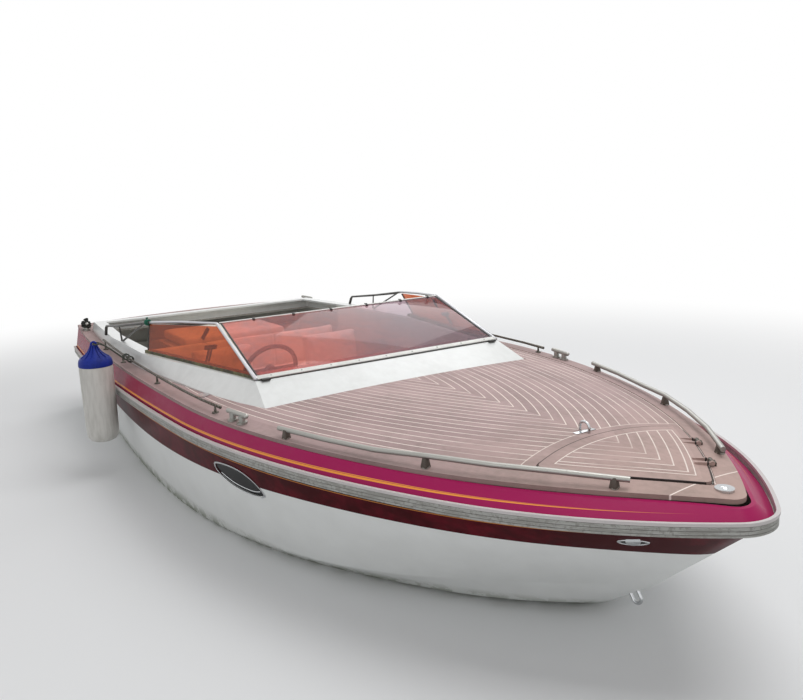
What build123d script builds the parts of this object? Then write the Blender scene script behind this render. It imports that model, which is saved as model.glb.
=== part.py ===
import os
from math import acos, asin, cos, hypot, pi, radians, sin, sqrt

from build123d import *

os.makedirs("parts", exist_ok=True)

# Sports boat afloat, in mm. Origin on the centreline at the waterline,
# +X to the bow, +Y to port, +Z up. Starboard is the -Y side.

# Hull
STERN_X = -2700
HULL_WALL = 14
TRANSOM_WALL = 34
RAIL_DEPTH = 17
RAIL_HEIGHT = 52
RAIL_LIP = 12
RAIL_FIT = 3
HULL_TOP_DROP = 30
RAIL_Z_WIDE = 604
RAIL_RISE = 0.0253

# Hull lines, columns x, half breadth, z
KEEL = [(STERN_X, 0, -400), (-800, 0, -395), (900, 0, -325), (1800, 0, -180), (2390, 0, 50)]
CHINE = [(STERN_X, 930, -72), (-1200, 990, -65), (200, 1003, -55), (900, 880, -30),
         (1565, 630, 12), (2146, 266, 39), (2402, 0, 60)]
KNUCKLE = [(STERN_X, 975, -10), (-1200, 1042, -5), (200, 1058, 5), (900, 962, 45),
           (1690, 690, 112), (2154, 382, 167), (2467, 122, 205), (2626, 0, 224)]

# Teak deck
BOARD_WIDTH = 95
BOARD_PROUD = 4
TEAK = 14
PANEL = 10
BAND_WALL = 12
BOARD_OVERHANG = 8
DECK_STERN_X = STERN_X + 35
# Deck crown sections, columns x, centre height, half width, drop at that half width
CROWN = [(-2760, 741, 1260, 40), (900, 759, 1260, 59), (2320, 767, 900, 112), (3140, 690, 420, 98)]
CROWN_FOOT_Z = 400

# Coaming, columns x and half breadth at the foot, x and half breadth at the top
COAMING = [(918, 860, 698, 816), (713, 915, 600, 832), (307, 987, 307, 888),
           (-241, 1047, -241, 996), (-586, 1073, -586, 1054), (-1400, 1062, -1400, 1046),
           (-2320, 985, -2320, 970)]
COAMING_FRONT_BOW = (970, 712)
COAMING_FOOT_Z = 690
SKIRT_Z = 722
COAMING_Z = 822
COAMING_FALL = 0.0156
COAMING_LIP = 80
COAMING_WALL = 14
FIT = 0.3

# Windscreen
SCREEN_TOP = (95, 786, 1047)
SCREEN_STRIP = 34
SCREEN_THICK = 12
GLASS = 5
TUBE_R = 11
WINDOW_AFT = (-640, 975, 985)
# Tube over each side window, from the screen's foot to the coaming aft
TUBE_PATH = [(694, 808, 828), (95, 786, 1049), (-292, 880, 1020), (-640, 975, 985),
             (-1150, 1040, 905), (-1560, 1040, 850), (-1600, 1040, 780)]
STRUT_FOOT = (-1180, 1028)
STRUT_HEADS = [(-1180, 1036, 900), (-700, 983, 975)]
SILL_WIDTH = 46
SILL_HEIGHT = 18

# Cockpit and cabin
SOLE_Z = -28
SOLE_THICK = 14
BULKHEAD_X = 300
PANEL_BOARD = 18
LOCKER_X = 2150
DASH_Z = 790
DASH_HALF = 735
# Dash from the side, columns x, z
DASH_SIDE = [(620, 560), (620, DASH_Z), (380, DASH_Z), (250, 690), (236, 560)]
LINER_INSET = 92
DOOR_WIDTH = 440
DOOR_Y = 200
DOOR_HINGE_OUT = 18
DOOR_HINGE_Z = (120, 440)
DOOR_PIN_R = 4
SEAT_Y = 430
SEAT_X = -560
BASE_Z = 262
PAD_Z = 372
BENCH_HALF = 860
WHEEL_CENTRE = (0, -430, 700)
WHEEL_R = 185
RIM_R = 14
COLUMN_R = 14
WHEEL_RAKE = 22

# Engine space
BOX_FRONT_X = -1640
BOX_BACK_X = -2280
BOX_HALF = 440
BOX_TOP_Z = 540
LID_THICK = 24
LID_PIN_OUT = 15
LID_EAR_R = 10
LID_PIN_R = 6
ENGINE_X = -2270
ENGINE_SIZE = (640, 500, 520)
ENGINE_FOOT_Z = -200

# Drive
STEER_X = -2840
TILT_Z = -40
PROP_Z = -560
ARM_HALF = 28
PROP_R = 168
PIN_R = 12
PIN_FIT = 0.05

# Fore hatch
HATCH_BACK_X = 2400
HATCH_HALF = 421
HATCH_APEX_X = 2880
HATCH_BULGE = 20
HATCH_BOW = 80
HATCH_GAP = 6
HATCH_PROUD = 8
HATCH_THICK = 20
HATCH_REBATE = 24
HATCH_ROUND = 45

# Deck fittings
BOW_RAIL_X = [1350, 1620, 1880, 2094, 2330, 2540, 2730]
BOW_STANCHION_X = [1398, 2094, 2690]
SIDE_RAIL_X = [-1500, -1100, -600, -66, 350, 640, 850]
SIDE_STANCHION_X = [-1440, -860, -66, 790]
RAIL_TUBE_R = 11
RAIL_STAND = 42
RAIL_DECK_Z = 718
BOW_RAIL_INSET = 26
SIDE_RAIL_INSET = 44
STANCHION_R = 8
BOW_CLEAT = (1018, 36)
STERN_CLEAT = (-2400, 44)
CLEAT_Z = 765
CLEAT_HORN = 78
CLEAT_LEG = 40
CLEAT_R = 12
DOME_X = 2925
DECK_EYE_X = 2252
BOW_EYE = (2539, 0, 160)
FILLER = (417, -1010)
SIDELIGHT = (2745, 252, 556)
FENDER = (-700, -1318.5)
FENDER_R = 112
FENDER_Z = (215, 800)
FENDER_LINE_R = 5


def rail_z(x):
    """Height of the rub rail's top edge."""
    return RAIL_Z_WIDE + RAIL_RISE * (x - 300)


def hull_top_z(x):
    return rail_z(x) - HULL_TOP_DROP


def coaming_z(x):
    return COAMING_Z + COAMING_FALL * (x - 698)


def level(height):
    return lambda x: height


class Plan:
    """A symmetric plan outline of tangent arcs: aft run, side, shoulder and nose."""

    def __init__(self, beam, x_wide, side, turn, shoulder, nose, stern, aft_turn=1.95, aft=22000):
        self.sizes = beam, x_wide, side, radians(turn), shoulder, nose
        self.stern = stern
        self.aft_turn = radians(aft_turn)
        self.aft = aft

    def arcs(self, inset):
        """Rows of centre x, centre y, radius and end angle, drawn in by inset."""
        beam, x_wide, side, turn, shoulder, nose = self.sizes
        beam, side, shoulder = beam - inset, side - inset, shoulder - inset
        aft, nose = self.aft - inset, max(nose - inset, 30)
        cy = beam - side
        rows = [(x_wide + (side - aft) * sin(self.aft_turn), cy + (side - aft) * cos(self.aft_turn),
                 aft, self.aft_turn), (x_wide, cy, side, turn)]
        sx, sy = x_wide + (side - shoulder) * sin(turn), cy + (side - shoulder) * cos(turn)
        last = acos(-sy / (shoulder - nose))
        rows.append((sx, sy, shoulder, last))
        rows.append((sx + (shoulder - nose) * sin(last), 0, nose, pi / 2))
        return rows

    def runs(self, inset, stern=None):
        """Start, middle and end of each arc of the port half, from the stern forward."""
        stern = self.stern + inset if stern is None else stern
        rows = self.arcs(inset)
        start = asin((stern - rows[0][0]) / rows[0][2])
        found = []
        for cx, cy, r, end in rows:
            angles = (start, (start + end) / 2, end)
            found.append([(cx + r * sin(a), cy + r * cos(a)) for a in angles])
            start = end
        return found

    def samples(self, inset, stern, steps):
        """Points along the port half, the same number of steps on each arc."""
        rows = self.arcs(inset)
        start = asin((stern - rows[0][0]) / rows[0][2])
        found = []
        for cx, cy, r, end in rows:
            angles = [start + (end - start) * k / steps for k in range(steps)]
            found += [(cx + r * sin(a), cy + r * cos(a)) for a in angles]
            start = end
        return found + [(rows[-1][0] + rows[-1][2], 0)]

    def half_breadth(self, x, inset=0):
        for (start, _, end), (cx, cy, r, _) in zip(self.runs(inset), self.arcs(inset)):
            if x <= end[0]:
                return cy + sqrt(r * r - (x - cx) ** 2)
        return 0

    def wire(self, inset, height, stern=None):
        """The closed outline, with height(x) giving the z of each point."""
        def at(p, hand=1):
            return (p[0], hand * p[1], height(p[0]))
        runs = self.runs(inset, stern)
        port = [ThreePointArc(*[at(p) for p in run]) for run in runs[:3]]
        nose = ThreePointArc(at(runs[3][0]), at(runs[3][2]), at(runs[3][0], -1))
        starboard = [ThreePointArc(*[at(p, -1) for p in reversed(run)]) for run in reversed(runs[:3])]
        stern_edge = Line(at(runs[0][0], -1), at(runs[0][0]))
        return Wire([stern_edge] + port + [nose] + starboard)

    def prism(self, inset, low, high, stern=None):
        face = Face(self.wire(inset, level(low), stern))
        return Solid.extrude(face, Vector(0, 0, high - low))


RAIL_PLAN = Plan(beam=1200, x_wide=300, side=4594, turn=25.21, shoulder=2232, nose=181, stern=STERN_X)
DECK_PLAN = Plan(beam=1150, x_wide=300, side=4045, turn=24.74, shoulder=3000, nose=64,
                 stern=DECK_STERN_X)


def save(name, *solids):
    shape = solids[0] if len(solids) == 1 else Compound(list(solids))
    export_step(shape, f"parts/{name}.step")


def both(shape):
    """A shape and its mirror image across the centreline."""
    return [shape, mirror(shape, about=Plane.XZ)]


def block(x, y, z):
    """A box from its low and high limits along each axis."""
    return Pos((x[0] + x[1]) / 2, (y[0] + y[1]) / 2, (z[0] + z[1]) / 2) * Box(
        x[1] - x[0], y[1] - y[0], z[1] - z[0])


def rod(a, b, radius):
    a, b = Vector(*a), Vector(*b)
    place = Plane(origin=a, z_dir=b - a)
    return place * Cylinder(radius, (b - a).length, align=(Align.CENTER, Align.CENTER, Align.MIN))


def tube(points, radius, bend):
    path = FilletPolyline(*points, radius=bend)
    return sweep(Plane(origin=path @ 0, z_dir=path % 0) * Circle(radius), path=path)


def ruled(a, b):
    return Face.make_surface_from_curves(a, b)


def hexa(low, high):
    """A solid between two four-cornered outlines, each a list of four points."""
    faces = [ruled(Edge.make_line(low[0], low[1]), Edge.make_line(low[3], low[2])),
             ruled(Edge.make_line(high[0], high[1]), Edge.make_line(high[3], high[2]))]
    for i in range(4):
        j = (i + 1) % 4
        faces.append(ruled(Edge.make_line(low[i], low[j]), Edge.make_line(high[i], high[j])))
    return Solid(Shell(faces))


def crown(offset):
    """Everything under the deck's crowned top, shifted up by offset."""
    sections = []
    for x, height, half, drop in CROWN:
        edge = height - drop + offset
        port, starboard = (x, half, edge), (x, -half, edge)
        foot_port, foot_starboard = (x, half, CROWN_FOOT_Z), (x, -half, CROWN_FOOT_Z)
        sections.append(Wire([ThreePointArc(port, (x, 0, height + offset), starboard),
                              Line(starboard, foot_starboard), Line(foot_starboard, foot_port),
                              Line(foot_port, port)]))
    return Solid.make_loft(sections)


CROWN_BOARD = crown(BOARD_PROUD)
CROWN_TOP = crown(0)
CROWN_TEAK_FOOT = crown(-TEAK)
CROWN_PANEL_FOOT = crown(-TEAK - PANEL)


def hull_line(table, inset, hand):
    """One of the hull's long lines, drawn in by inset."""
    points = []
    for i, (x, y, z) in enumerate(table):
        x = x + TRANSOM_WALL * (inset > HULL_WALL / 2) if i == 0 else x
        if i == len(table) - 1:
            x = x - 2 * inset
        points.append((x, hand * max(y - inset, 0), z + (inset if i < len(table) - 1 else 0)))
    return Spline(*points)


def hull_top(inset, hand, lift):
    stern = STERN_X + TRANSOM_WALL * (inset > HULL_WALL / 2)
    flat = RAIL_PLAN.samples(RAIL_DEPTH + inset, stern, 4)
    points = [(x, hand * y, hull_top_z(x) + lift) for x, y in flat]
    aft = RAIL_PLAN.arcs(RAIL_DEPTH + inset)[0]
    slope = (1, hand * (aft[0] - stern) / (flat[0][1] - aft[1]), RAIL_RISE)
    return Spline(*points, tangents=[slope, (0, -hand, 0)])


def hull_form(inset, lift=0):
    """The hull's form up to the rail, drawn in by inset, its top raised by lift."""
    faces, ends = [], []
    keel = hull_line(KEEL, inset * 1.3, 1)
    for hand in (1, -1):
        lines = [keel, hull_line(CHINE, inset, hand), hull_line(KNUCKLE, inset, hand),
                 hull_top(inset, hand, lift)]
        faces += [ruled(a.edge(), b.edge()) for a, b in zip(lines, lines[1:])]
        ends.append(lines)
    port, starboard = ends
    faces.append(Face(Wire([port[3].edge(), starboard[3].edge(),
                            Line(starboard[3] @ 0, port[3] @ 0).edge()])))
    corners = [line @ 0 for line in port] + [line @ 0 for line in reversed(starboard[1:])]
    faces.append(Face(Wire.make_polygon(corners, close=True)))
    solid = Solid(Shell(faces))
    return solid if solid.volume > 0 else Solid(Shell([-f for f in faces]))


HULL_OUTSIDE = hull_form(0)
HULL_INSIDE = hull_form(HULL_WALL, lift=1)
INNER_FIT = hull_form(HULL_WALL + 0.8)

# Corners of the portlight seen from the side (x, z); the outline runs smoothly through them
PORTLIGHT = [(842, 462), (862, 486), (925, 498), (1000, 504), (1072, 502), (1132, 488), (1180, 460),
             (1212, 424), (1210, 400), (1160, 388), (1086, 384), (1005, 387), (930, 401), (870, 428)]


def portlight_prism(grow):
    """The portlight's outline, moved out by grow and drawn through the hull."""
    count, outline = len(PORTLIGHT), []
    for i in range(count):
        a, b, c, d = (PORTLIGHT[(i + k) % count] for k in (-1, 0, 1, 2))
        middle = [(9 * (b[k] + c[k]) - a[k] - d[k]) / 16 for k in (0, 1)]
        outline += [b, middle]
    grown = []
    for i, (x, z) in enumerate(outline):
        before, after = outline[i - 1], outline[(i + 1) % len(outline)]
        dx, dz = after[0] - before[0], after[1] - before[1]
        grown.append((x - grow * dz / hypot(dx, dz), z + grow * dx / hypot(dx, dz)))
    face = make_face(Polyline(*grown, close=True))
    return extrude(Plane.XZ * face, amount=1400, both=True)


def make_hull():
    cut = portlight_prism(0)
    save("hull", HULL_OUTSIDE - HULL_INSIDE - cut)
    shells = [(3, 8, -FIT, "portlight_glass"), (-3 - FIT, -FIT, 9, "portlight_frames")]
    for outer, inner, grow, name in shells:
        skin = hull_form(outer) - hull_form(inner, lift=1)
        ring = portlight_prism(grow) & skin
        if grow > 0:
            ring = ring - cut
        save(name, *[s for s in ring.solids() if abs(s.center().Y) > 700])


def make_rub_rail():
    def ring(outer, inner, high, low):
        top = RAIL_PLAN.wire(outer, lambda x: rail_z(x) - high, STERN_X - RAIL_DEPTH + outer)
        hole = RAIL_PLAN.wire(inner - RAIL_FIT, lambda x: rail_z(x) - high, STERN_X - RAIL_FIT)
        return Solid.extrude(Face(top, [hole]), Vector(0, 0, high - low))
    lip = ring(0, RAIL_DEPTH, 0, RAIL_LIP)
    save("rub_rail", lip + ring(3, RAIL_DEPTH, RAIL_LIP, RAIL_HEIGHT))


def make_deck_band():
    """The moulded side of the deck, from the rub rail up to the teak."""
    def form(inset, extra):
        foot = RAIL_PLAN.wire(RAIL_DEPTH + inset, lambda x: hull_top_z(x) - extra, STERN_X + inset)
        head = DECK_PLAN.wire(BOARD_OVERHANG + inset, level(SKIRT_Z + extra))
        return Solid.make_loft([foot, head], True)
    band = (form(0, 0) - form(BAND_WALL, 0.01)) & CROWN_TEAK_FOOT
    save("deck_band", band)


def coaming_wire(top, inset, height):
    """The coaming's outline at its foot or top, drawn in by inset."""
    first, last = 0, len(COAMING) - 1
    half = []
    for i, row in enumerate(COAMING):
        x, y = row[2:] if top else row[:2]
        x += -inset if i == first else inset if i == last else 0
        half.append((x, y - inset))
    front = COAMING_FRONT_BOW[top] - inset

    def at(p, hand):
        return (p[0], hand * p[1], height(p[0]))
    edges = [ThreePointArc(at(half[0], -1), (front, 0, height(front)), at(half[0], 1))]
    edges += [Line(at(a, 1), at(b, 1)) for a, b in zip(half, half[1:])]
    edges.append(Line(at(half[-1], 1), at(half[-1], -1)))
    back = half[::-1]
    edges += [Line(at(a, -1), at(b, -1)) for a, b in zip(back, back[1:])]
    return Wire(edges)


def coaming_prism(inset, low, high):
    return Solid.extrude(Face(coaming_wire(0, inset, level(low))), Vector(0, 0, high - low))


def coaming_form(inset_foot, inset_top, foot_z, lift):
    skirt = coaming_wire(0, inset_foot, level(SKIRT_Z))
    head = coaming_wire(1, inset_top, lambda x: coaming_z(x) + lift)
    slope = Solid.make_loft([skirt, head], True)
    return slope + coaming_prism(inset_foot, foot_z, SKIRT_Z)


def make_coaming():
    """White moulding round the cockpit, hollow under its lip."""
    body = coaming_form(0, 0, COAMING_FOOT_Z, 0)
    hollow = coaming_form(COAMING_WALL, COAMING_WALL + 6, COAMING_FOOT_Z - 1, -COAMING_WALL)
    mouth = Solid.extrude(Face(coaming_wire(1, COAMING_LIP, level(600))), Vector(0, 0, 400))
    return body - hollow - mouth


COAMING_SOLID = make_coaming()


def hatch_face(grow):
    """Rounded triangle of the fore hatch from above, each side moved out by grow."""
    long = HATCH_APEX_X - HATCH_BACK_X
    nx, ny = HATCH_HALF / hypot(HATCH_HALF, long), long / hypot(HATCH_HALF, long)
    corner_y = HATCH_HALF + grow * (1 + nx) / ny
    port, starboard = (HATCH_BACK_X - grow, corner_y), (HATCH_BACK_X - grow, -corner_y)
    apex = (HATCH_APEX_X + grow / nx, 0)
    side_x = HATCH_BACK_X + long / 2 + nx * (HATCH_BULGE + grow)
    side_y = HATCH_HALF / 2 + ny * (HATCH_BULGE + grow)
    outline = [ThreePointArc(starboard, (HATCH_BACK_X - HATCH_BOW - grow, 0), port),
               ThreePointArc(port, (side_x, side_y), apex),
               ThreePointArc(apex, (side_x, -side_y), starboard)]
    face = make_face(outline[0] + outline[1] + outline[2])
    return fillet(face.vertices(), HATCH_ROUND + grow)


def hatch_prism(grow):
    return Pos(0, 0, 600) * extrude(hatch_face(grow), amount=300)


def make_deck():
    """Covering board round the edge, planks inside it, and the moulded panel under them."""
    cockpit = coaming_prism(-FIT, 600, 900)
    ring = DECK_PLAN.prism(0, 600, 800) - DECK_PLAN.prism(BOARD_WIDTH, 590, 810)
    board = (ring - cockpit) & (CROWN_BOARD - CROWN_TEAK_FOOT)
    save("covering_board", board)
    field = DECK_PLAN.prism(BOARD_WIDTH + FIT, 600, 800) - cockpit - hatch_prism(HATCH_GAP)
    save("deck_planks", field & (CROWN_TOP - CROWN_TEAK_FOOT))
    inside = BOARD_OVERHANG + BAND_WALL + 2
    panel = DECK_PLAN.prism(inside, 600, 800) - cockpit - hatch_prism(-HATCH_REBATE)
    save("deck_panel", panel & (CROWN_TEAK_FOOT - CROWN_PANEL_FOOT))
    return board


# Hinge line of the fore hatch: along the port side, clear of its bulge
HINGE_OUT = HATCH_BULGE + 12
HINGE_R = 9
HINGE_PIN_R = 4
HINGE_Z = 748
HINGE_AT = (-110, 130)
HINGE_LENGTH = 34


def hinge_frame(along=0):
    """Plane on the hinge line: Z forward along it, X out to port."""
    mid_x, mid_y = (HATCH_BACK_X + HATCH_APEX_X) / 2, HATCH_HALF / 2
    run = Vector(HATCH_APEX_X - HATCH_BACK_X, -HATCH_HALF, 0).normalized()
    out = Vector(-run.Y, run.X, 0)
    centre = Vector(mid_x, mid_y, HINGE_Z) + out * HINGE_OUT + run * along
    return Plane(origin=centre, x_dir=out, z_dir=run)


def make_hatch(board):
    """Lid with its hinge leaves, and the barrels they turn in."""
    lid = hatch_prism(0) & (crown(HATCH_PROUD) - crown(HATCH_PROUD - HATCH_THICK))
    fixed = []
    for along in HINGE_AT:
        place = hinge_frame(along)
        bore = place * Cylinder(HINGE_PIN_R + PIN_FIT, 2 * HINGE_LENGTH)
        foot = place * Pos(8, -20, 0) * Box(18, 40, HINGE_LENGTH)
        barrel = place * Cylinder(HINGE_R, HINGE_LENGTH) + foot
        fixed.append(barrel - bore - CROWN_TOP - board)
        lid = lid + place * Cylinder(HINGE_PIN_R, HINGE_LENGTH + 24)
        for end in (-1, 1):
            tab = Pos(0, 0, end * (HINGE_LENGTH / 2 + 7)) * Cylinder(HINGE_R, 10)
            arm = Pos(-32, -1, end * (HINGE_LENGTH / 2 + 7)) * Box(64, 12, 10)
            lid = lid + place * (tab + arm)
    return lid, fixed


def stand(x, y, top, radius):
    """A stanchion seated on the deck, with its round foot."""
    post = rod((x, y, 640), (x, y, top), radius)
    foot = rod((x, y, 640), (x, y, 750), radius * 2.1) & crown(BOARD_PROUD + 6)
    return (post + foot) - CROWN_BOARD


def deck_rail(xs, posts, inset):
    """One low handrail following the deck's port edge."""
    def height(x, y):
        return RAIL_DECK_Z + RAIL_STAND + (12 if x > 1900 else 0) - (10 if x > 2600 else 0)
    points = [(x, DECK_PLAN.half_breadth(x, inset), height(x, 0)) for x in xs]
    rail = tube(points, RAIL_TUBE_R, 300)
    for x in posts:
        y = DECK_PLAN.half_breadth(x, inset)
        rail = rail + stand(x, y, height(x, y), STANCHION_R)
    return rail


def horn_cleat(x, inset):
    """Two-legged horn cleat on the covering board, port side."""
    y = DECK_PLAN.half_breadth(x, inset)
    slope = Vector(100, DECK_PLAN.half_breadth(x + 50, inset) - DECK_PLAN.half_breadth(x - 50, inset), 0)
    run = slope.normalized()
    top = Vector(x, y, CLEAT_Z)
    horn = rod(top - run * CLEAT_HORN, top + run * CLEAT_HORN, CLEAT_R)
    horn = horn + [Plane(origin=top + run * (CLEAT_HORN * s), z_dir=run) * Sphere(CLEAT_R) for s in (-1, 1)]
    for s in (-1, 1):
        p = top + run * (CLEAT_LEG * s)
        leg = rod((p.X, p.Y, 680), (p.X, p.Y, CLEAT_Z), 16)
        foot = rod((p.X, p.Y, 680), (p.X, p.Y, 740), 26) & crown(BOARD_PROUD + 10)
        horn = horn + ((leg + foot) - CROWN_BOARD)
    return horn


def make_fittings():
    save("bow_rails", *both(deck_rail(BOW_RAIL_X, BOW_STANCHION_X, BOW_RAIL_INSET)))
    save("side_rails", *both(deck_rail(SIDE_RAIL_X, SIDE_STANCHION_X, SIDE_RAIL_INSET)))
    save("cleats", *both(horn_cleat(*BOW_CLEAT)), *both(horn_cleat(*STERN_CLEAT)))
    dome = rod((DOME_X, 0, 640), (DOME_X, 0, 730), 34) & crown(BOARD_PROUD + 10)
    dome = dome + Pos(DOME_X, 0, 712) * Sphere(24)
    save("stem_dome", dome - CROWN_BOARD)
    eye = tube([(0, 26, -60), (0, 26, 42), (0, -26, 42), (0, -26, -60)], 6, 24)
    deck_eye = (Pos(DECK_EYE_X, 0, 770) * Rot(0, 0, 90) * eye) - CROWN_TOP
    ring = tube([(0, 22, -60), (0, 22, 44), (0, -22, 44), (0, -22, -60)], 7, 20)
    bow = Plane(origin=BOW_EYE, x_dir=(0, 1, 0), z_dir=(0.6, 0, -0.8)) * ring
    save("eye_bolts", deck_eye, bow - HULL_OUTSIDE)
    x, y = FILLER
    filler = (rod((x, y, 640), (x, y, 840), 36) & crown(8)) - CROWN_TOP - COAMING_SOLID
    save("deck_filler", Pos(0, 0, 0.1) * filler)
    light = Plane(origin=SIDELIGHT, z_dir=(0.62, 0.78, 0)) * Cylinder(26, 120)
    save("sidelights", *both((light & hull_form(-9)) - hull_form(0)))


def window_points(hand, side):
    """Corners of a side window: foot front, foot back, head back, head front."""
    def foot(x, y):
        return (x, hand * (y + side), coaming_z(x) + SILL_HEIGHT)
    back_x, back_y, back_z = WINDOW_AFT
    top_x, top_y, top_z = SCREEN_TOP
    return [foot(655, 800), foot(-560, 1020), (back_x, hand * (back_y + side), back_z - TUBE_R),
            (top_x + 20, hand * (top_y + side), top_z - TUBE_R - 2)]


def make_screen():
    """Raked front screen in its strips, side windows, their sills and the tubes over them."""
    foot, head = Vector(698, 0, COAMING_Z), Vector(SCREEN_TOP[0], 0, SCREEN_TOP[2])
    slope = head - foot
    place = Plane(origin=foot, x_dir=(0, 1, 0), z_dir=Vector(slope.Z, 0, -slope.X))
    half_foot, half_head = 816 - 14, SCREEN_TOP[1] - 14
    outline = [(-half_foot, 0), (half_foot, 0), (half_head, slope.length), (-half_head, slope.length)]
    pane = make_face(Polyline(*outline, close=True))
    hole = offset(pane, amount=-SCREEN_STRIP)
    tubes, thick = [], []
    for hand in (1, -1):
        path = [(x, hand * y, z) for x, y, z in TUBE_PATH]
        rail = tube(path, TUBE_R, 30)
        foot_x, foot_y = STRUT_FOOT
        base = (foot_x, hand * foot_y, coaming_z(foot_x) - 6)
        for x, y, z in STRUT_HEADS:
            rail = rail + rod(base, (x, hand * y, z), 7)
        tubes.append(rail - COAMING_SOLID)
        thick.append(tube(path, TUBE_R + FIT, 30))
    save("cockpit_rails", *tubes)
    frame = (place * extrude(pane - hole, amount=SCREEN_THICK)) - COAMING_SOLID - thick
    save("screen_frame", frame)
    glass = offset(pane, amount=-SCREEN_STRIP - 0.2)
    save("screen_glass", place * Pos(0, 0, 3) * extrude(glass, amount=GLASS))
    windows = [hexa(window_points(hand, 0), window_points(hand, -GLASS)) for hand in (1, -1)]
    save("side_windows", *[window - thick[i] - frame for i, window in enumerate(windows)])
    sills = []
    for i, hand in enumerate((1, -1)):
        def corner(x, y, z):
            return (x, hand * y, z)
        x0, x1, y0, y1 = 640, -590, 806, 1032
        low = [corner(x0, y0, coaming_z(x0)), corner(x1, y1, coaming_z(x1)),
               corner(x1, y1 - SILL_WIDTH, coaming_z(x1)), corner(x0, y0 - SILL_WIDTH, coaming_z(x0))]
        high = [(x, y, z + SILL_HEIGHT - FIT) for x, y, z in low]
        sills.append(hexa(low, high) - thick[i])
    save("window_sills", *sills)


def make_cabin():
    sole = block((BOX_FRONT_X, 2040), (-1100, 1100), (SOLE_Z - SOLE_THICK, SOLE_Z)) & INNER_FIT
    save("cockpit_sole", sole)
    door_low, door_high = DOOR_Y - DOOR_WIDTH / 2, DOOR_Y + DOOR_WIDTH / 2
    board = block((BULKHEAD_X, BULKHEAD_X + PANEL_BOARD), (-1150, 1150), (SOLE_Z, 560)) & INNER_FIT
    opening = block((BULKHEAD_X - 400, BULKHEAD_X + 500), (door_low, door_high), (SOLE_Z + 30, 720))
    locker = block((LOCKER_X, LOCKER_X + 14), (-1100, 1100), (120, 540)) & INNER_FIT
    knuckles = [door_knuckle(door_high, z) for z in DOOR_HINGE_Z]
    save("bulkheads", board - opening + knuckles, locker)
    dash = Plane.XZ * make_face(Polyline(*DASH_SIDE, close=True))
    dash = extrude(dash, amount=DASH_HALF, both=True)
    within = DASH_HALF - 20
    dash = dash - block((BULKHEAD_X + PANEL_BOARD, 605), (-within, within), (540, DASH_Z - 14)) - opening
    boss = Pos(0, 0, 262) * Cylinder(25.5, 120)
    dash = dash + wheel_plane() * boss
    save("dash", dash - wheel_plane() * Cylinder(COLUMN_R + PIN_FIT, 700))
    return door_low, door_high


def wheel_plane():
    """Plane on the steering wheel: Z along the column, away from the helm."""
    rake = radians(WHEEL_RAKE)
    return Plane(origin=WHEEL_CENTRE, x_dir=(0, 1, 0), z_dir=(cos(rake), 0, -sin(rake)))


def make_wheel():
    rim = Torus(WHEEL_R - RIM_R, RIM_R)
    hub = Cylinder(34, 26) + Pos(0, 0, 100) * Cylinder(COLUMN_R, 220)
    wheel = rim + hub
    for angle in (0, 180, 270):
        spoke = Rot(0, 0, angle) * Pos(WHEEL_R / 2 + 2, 0, 0) * Box(WHEEL_R - 46, 34, 7)
        wheel = wheel + spoke
    save("steering_wheel", wheel_plane() * wheel)


def cushion(x, y, z, edge):
    return fillet(block(x, y, z).edges(), edge)


def make_seats():
    bases, pads, backs = [], [], []
    for hand in (-1, 1):
        y = hand * SEAT_Y
        base = block((SEAT_X - 210, SEAT_X + 190), (y - 190, y + 190), (SOLE_Z, BASE_Z))
        base = base - block((SEAT_X - 196, SEAT_X + 176), (y - 176, y + 176), (SOLE_Z - 1, BASE_Z - 22))
        lean = Pos(SEAT_X - 225, 0, 270) * Rot(0, -9, 0)
        plate = lean * block((-65 - FIT, -55 - FIT), (y - 70, y + 70), (-110, 280))
        base = base + plate + block((SEAT_X - 275, SEAT_X - 200), (y - 70, y + 70), (170, 240))
        bases.append(base)
        pads.append(cushion((SEAT_X - 150, SEAT_X + 240), (y - 230, y + 230), (BASE_Z + FIT, PAD_Z), 30))
        back = cushion((-55, 55), (y - 235, y + 235), (0, 470), 30)
        backs.append(lean * back)
    save("seat_bases", *bases)
    save("seat_cushions", *pads)
    save("seat_backs", *backs)
    half, within = BENCH_HALF, BENCH_HALF - 16
    base = block((BOX_FRONT_X + 1, -1240), (-half, half), (SOLE_Z, BASE_Z))
    base = base - block((BOX_FRONT_X, -1256), (-within, within), (SOLE_Z - 1, BASE_Z - 16))
    save("bench_base", base)
    wide = (-BENCH_HALF - 10, BENCH_HALF + 10)
    save("bench_cushion", cushion((BOX_FRONT_X + 75, -1220), wide, (BASE_Z + FIT, PAD_Z), 30))
    save("bench_back", cushion((BOX_FRONT_X + 6, BOX_FRONT_X + 74), wide, (BASE_Z + FIT, 640), 25))


def make_liner():
    ring = coaming_prism(LINER_INSET, SOLE_Z, 815) - coaming_prism(LINER_INSET + 12, SOLE_Z - 1, 816)
    sides = block((BOX_FRONT_X, BULKHEAD_X - FIT), (-1200, 1200), (SOLE_Z, 815))
    hollow = coaming_form(COAMING_WALL, COAMING_WALL + 6, COAMING_FOOT_Z - 1, -COAMING_WALL)
    under = (hollow + coaming_prism(60, SOLE_Z, COAMING_FOOT_Z)) - COAMING_SOLID
    liner = (ring & sides) & under
    save("cockpit_liner", *[s for s in liner.solids() if s.volume > 1e6])


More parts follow.
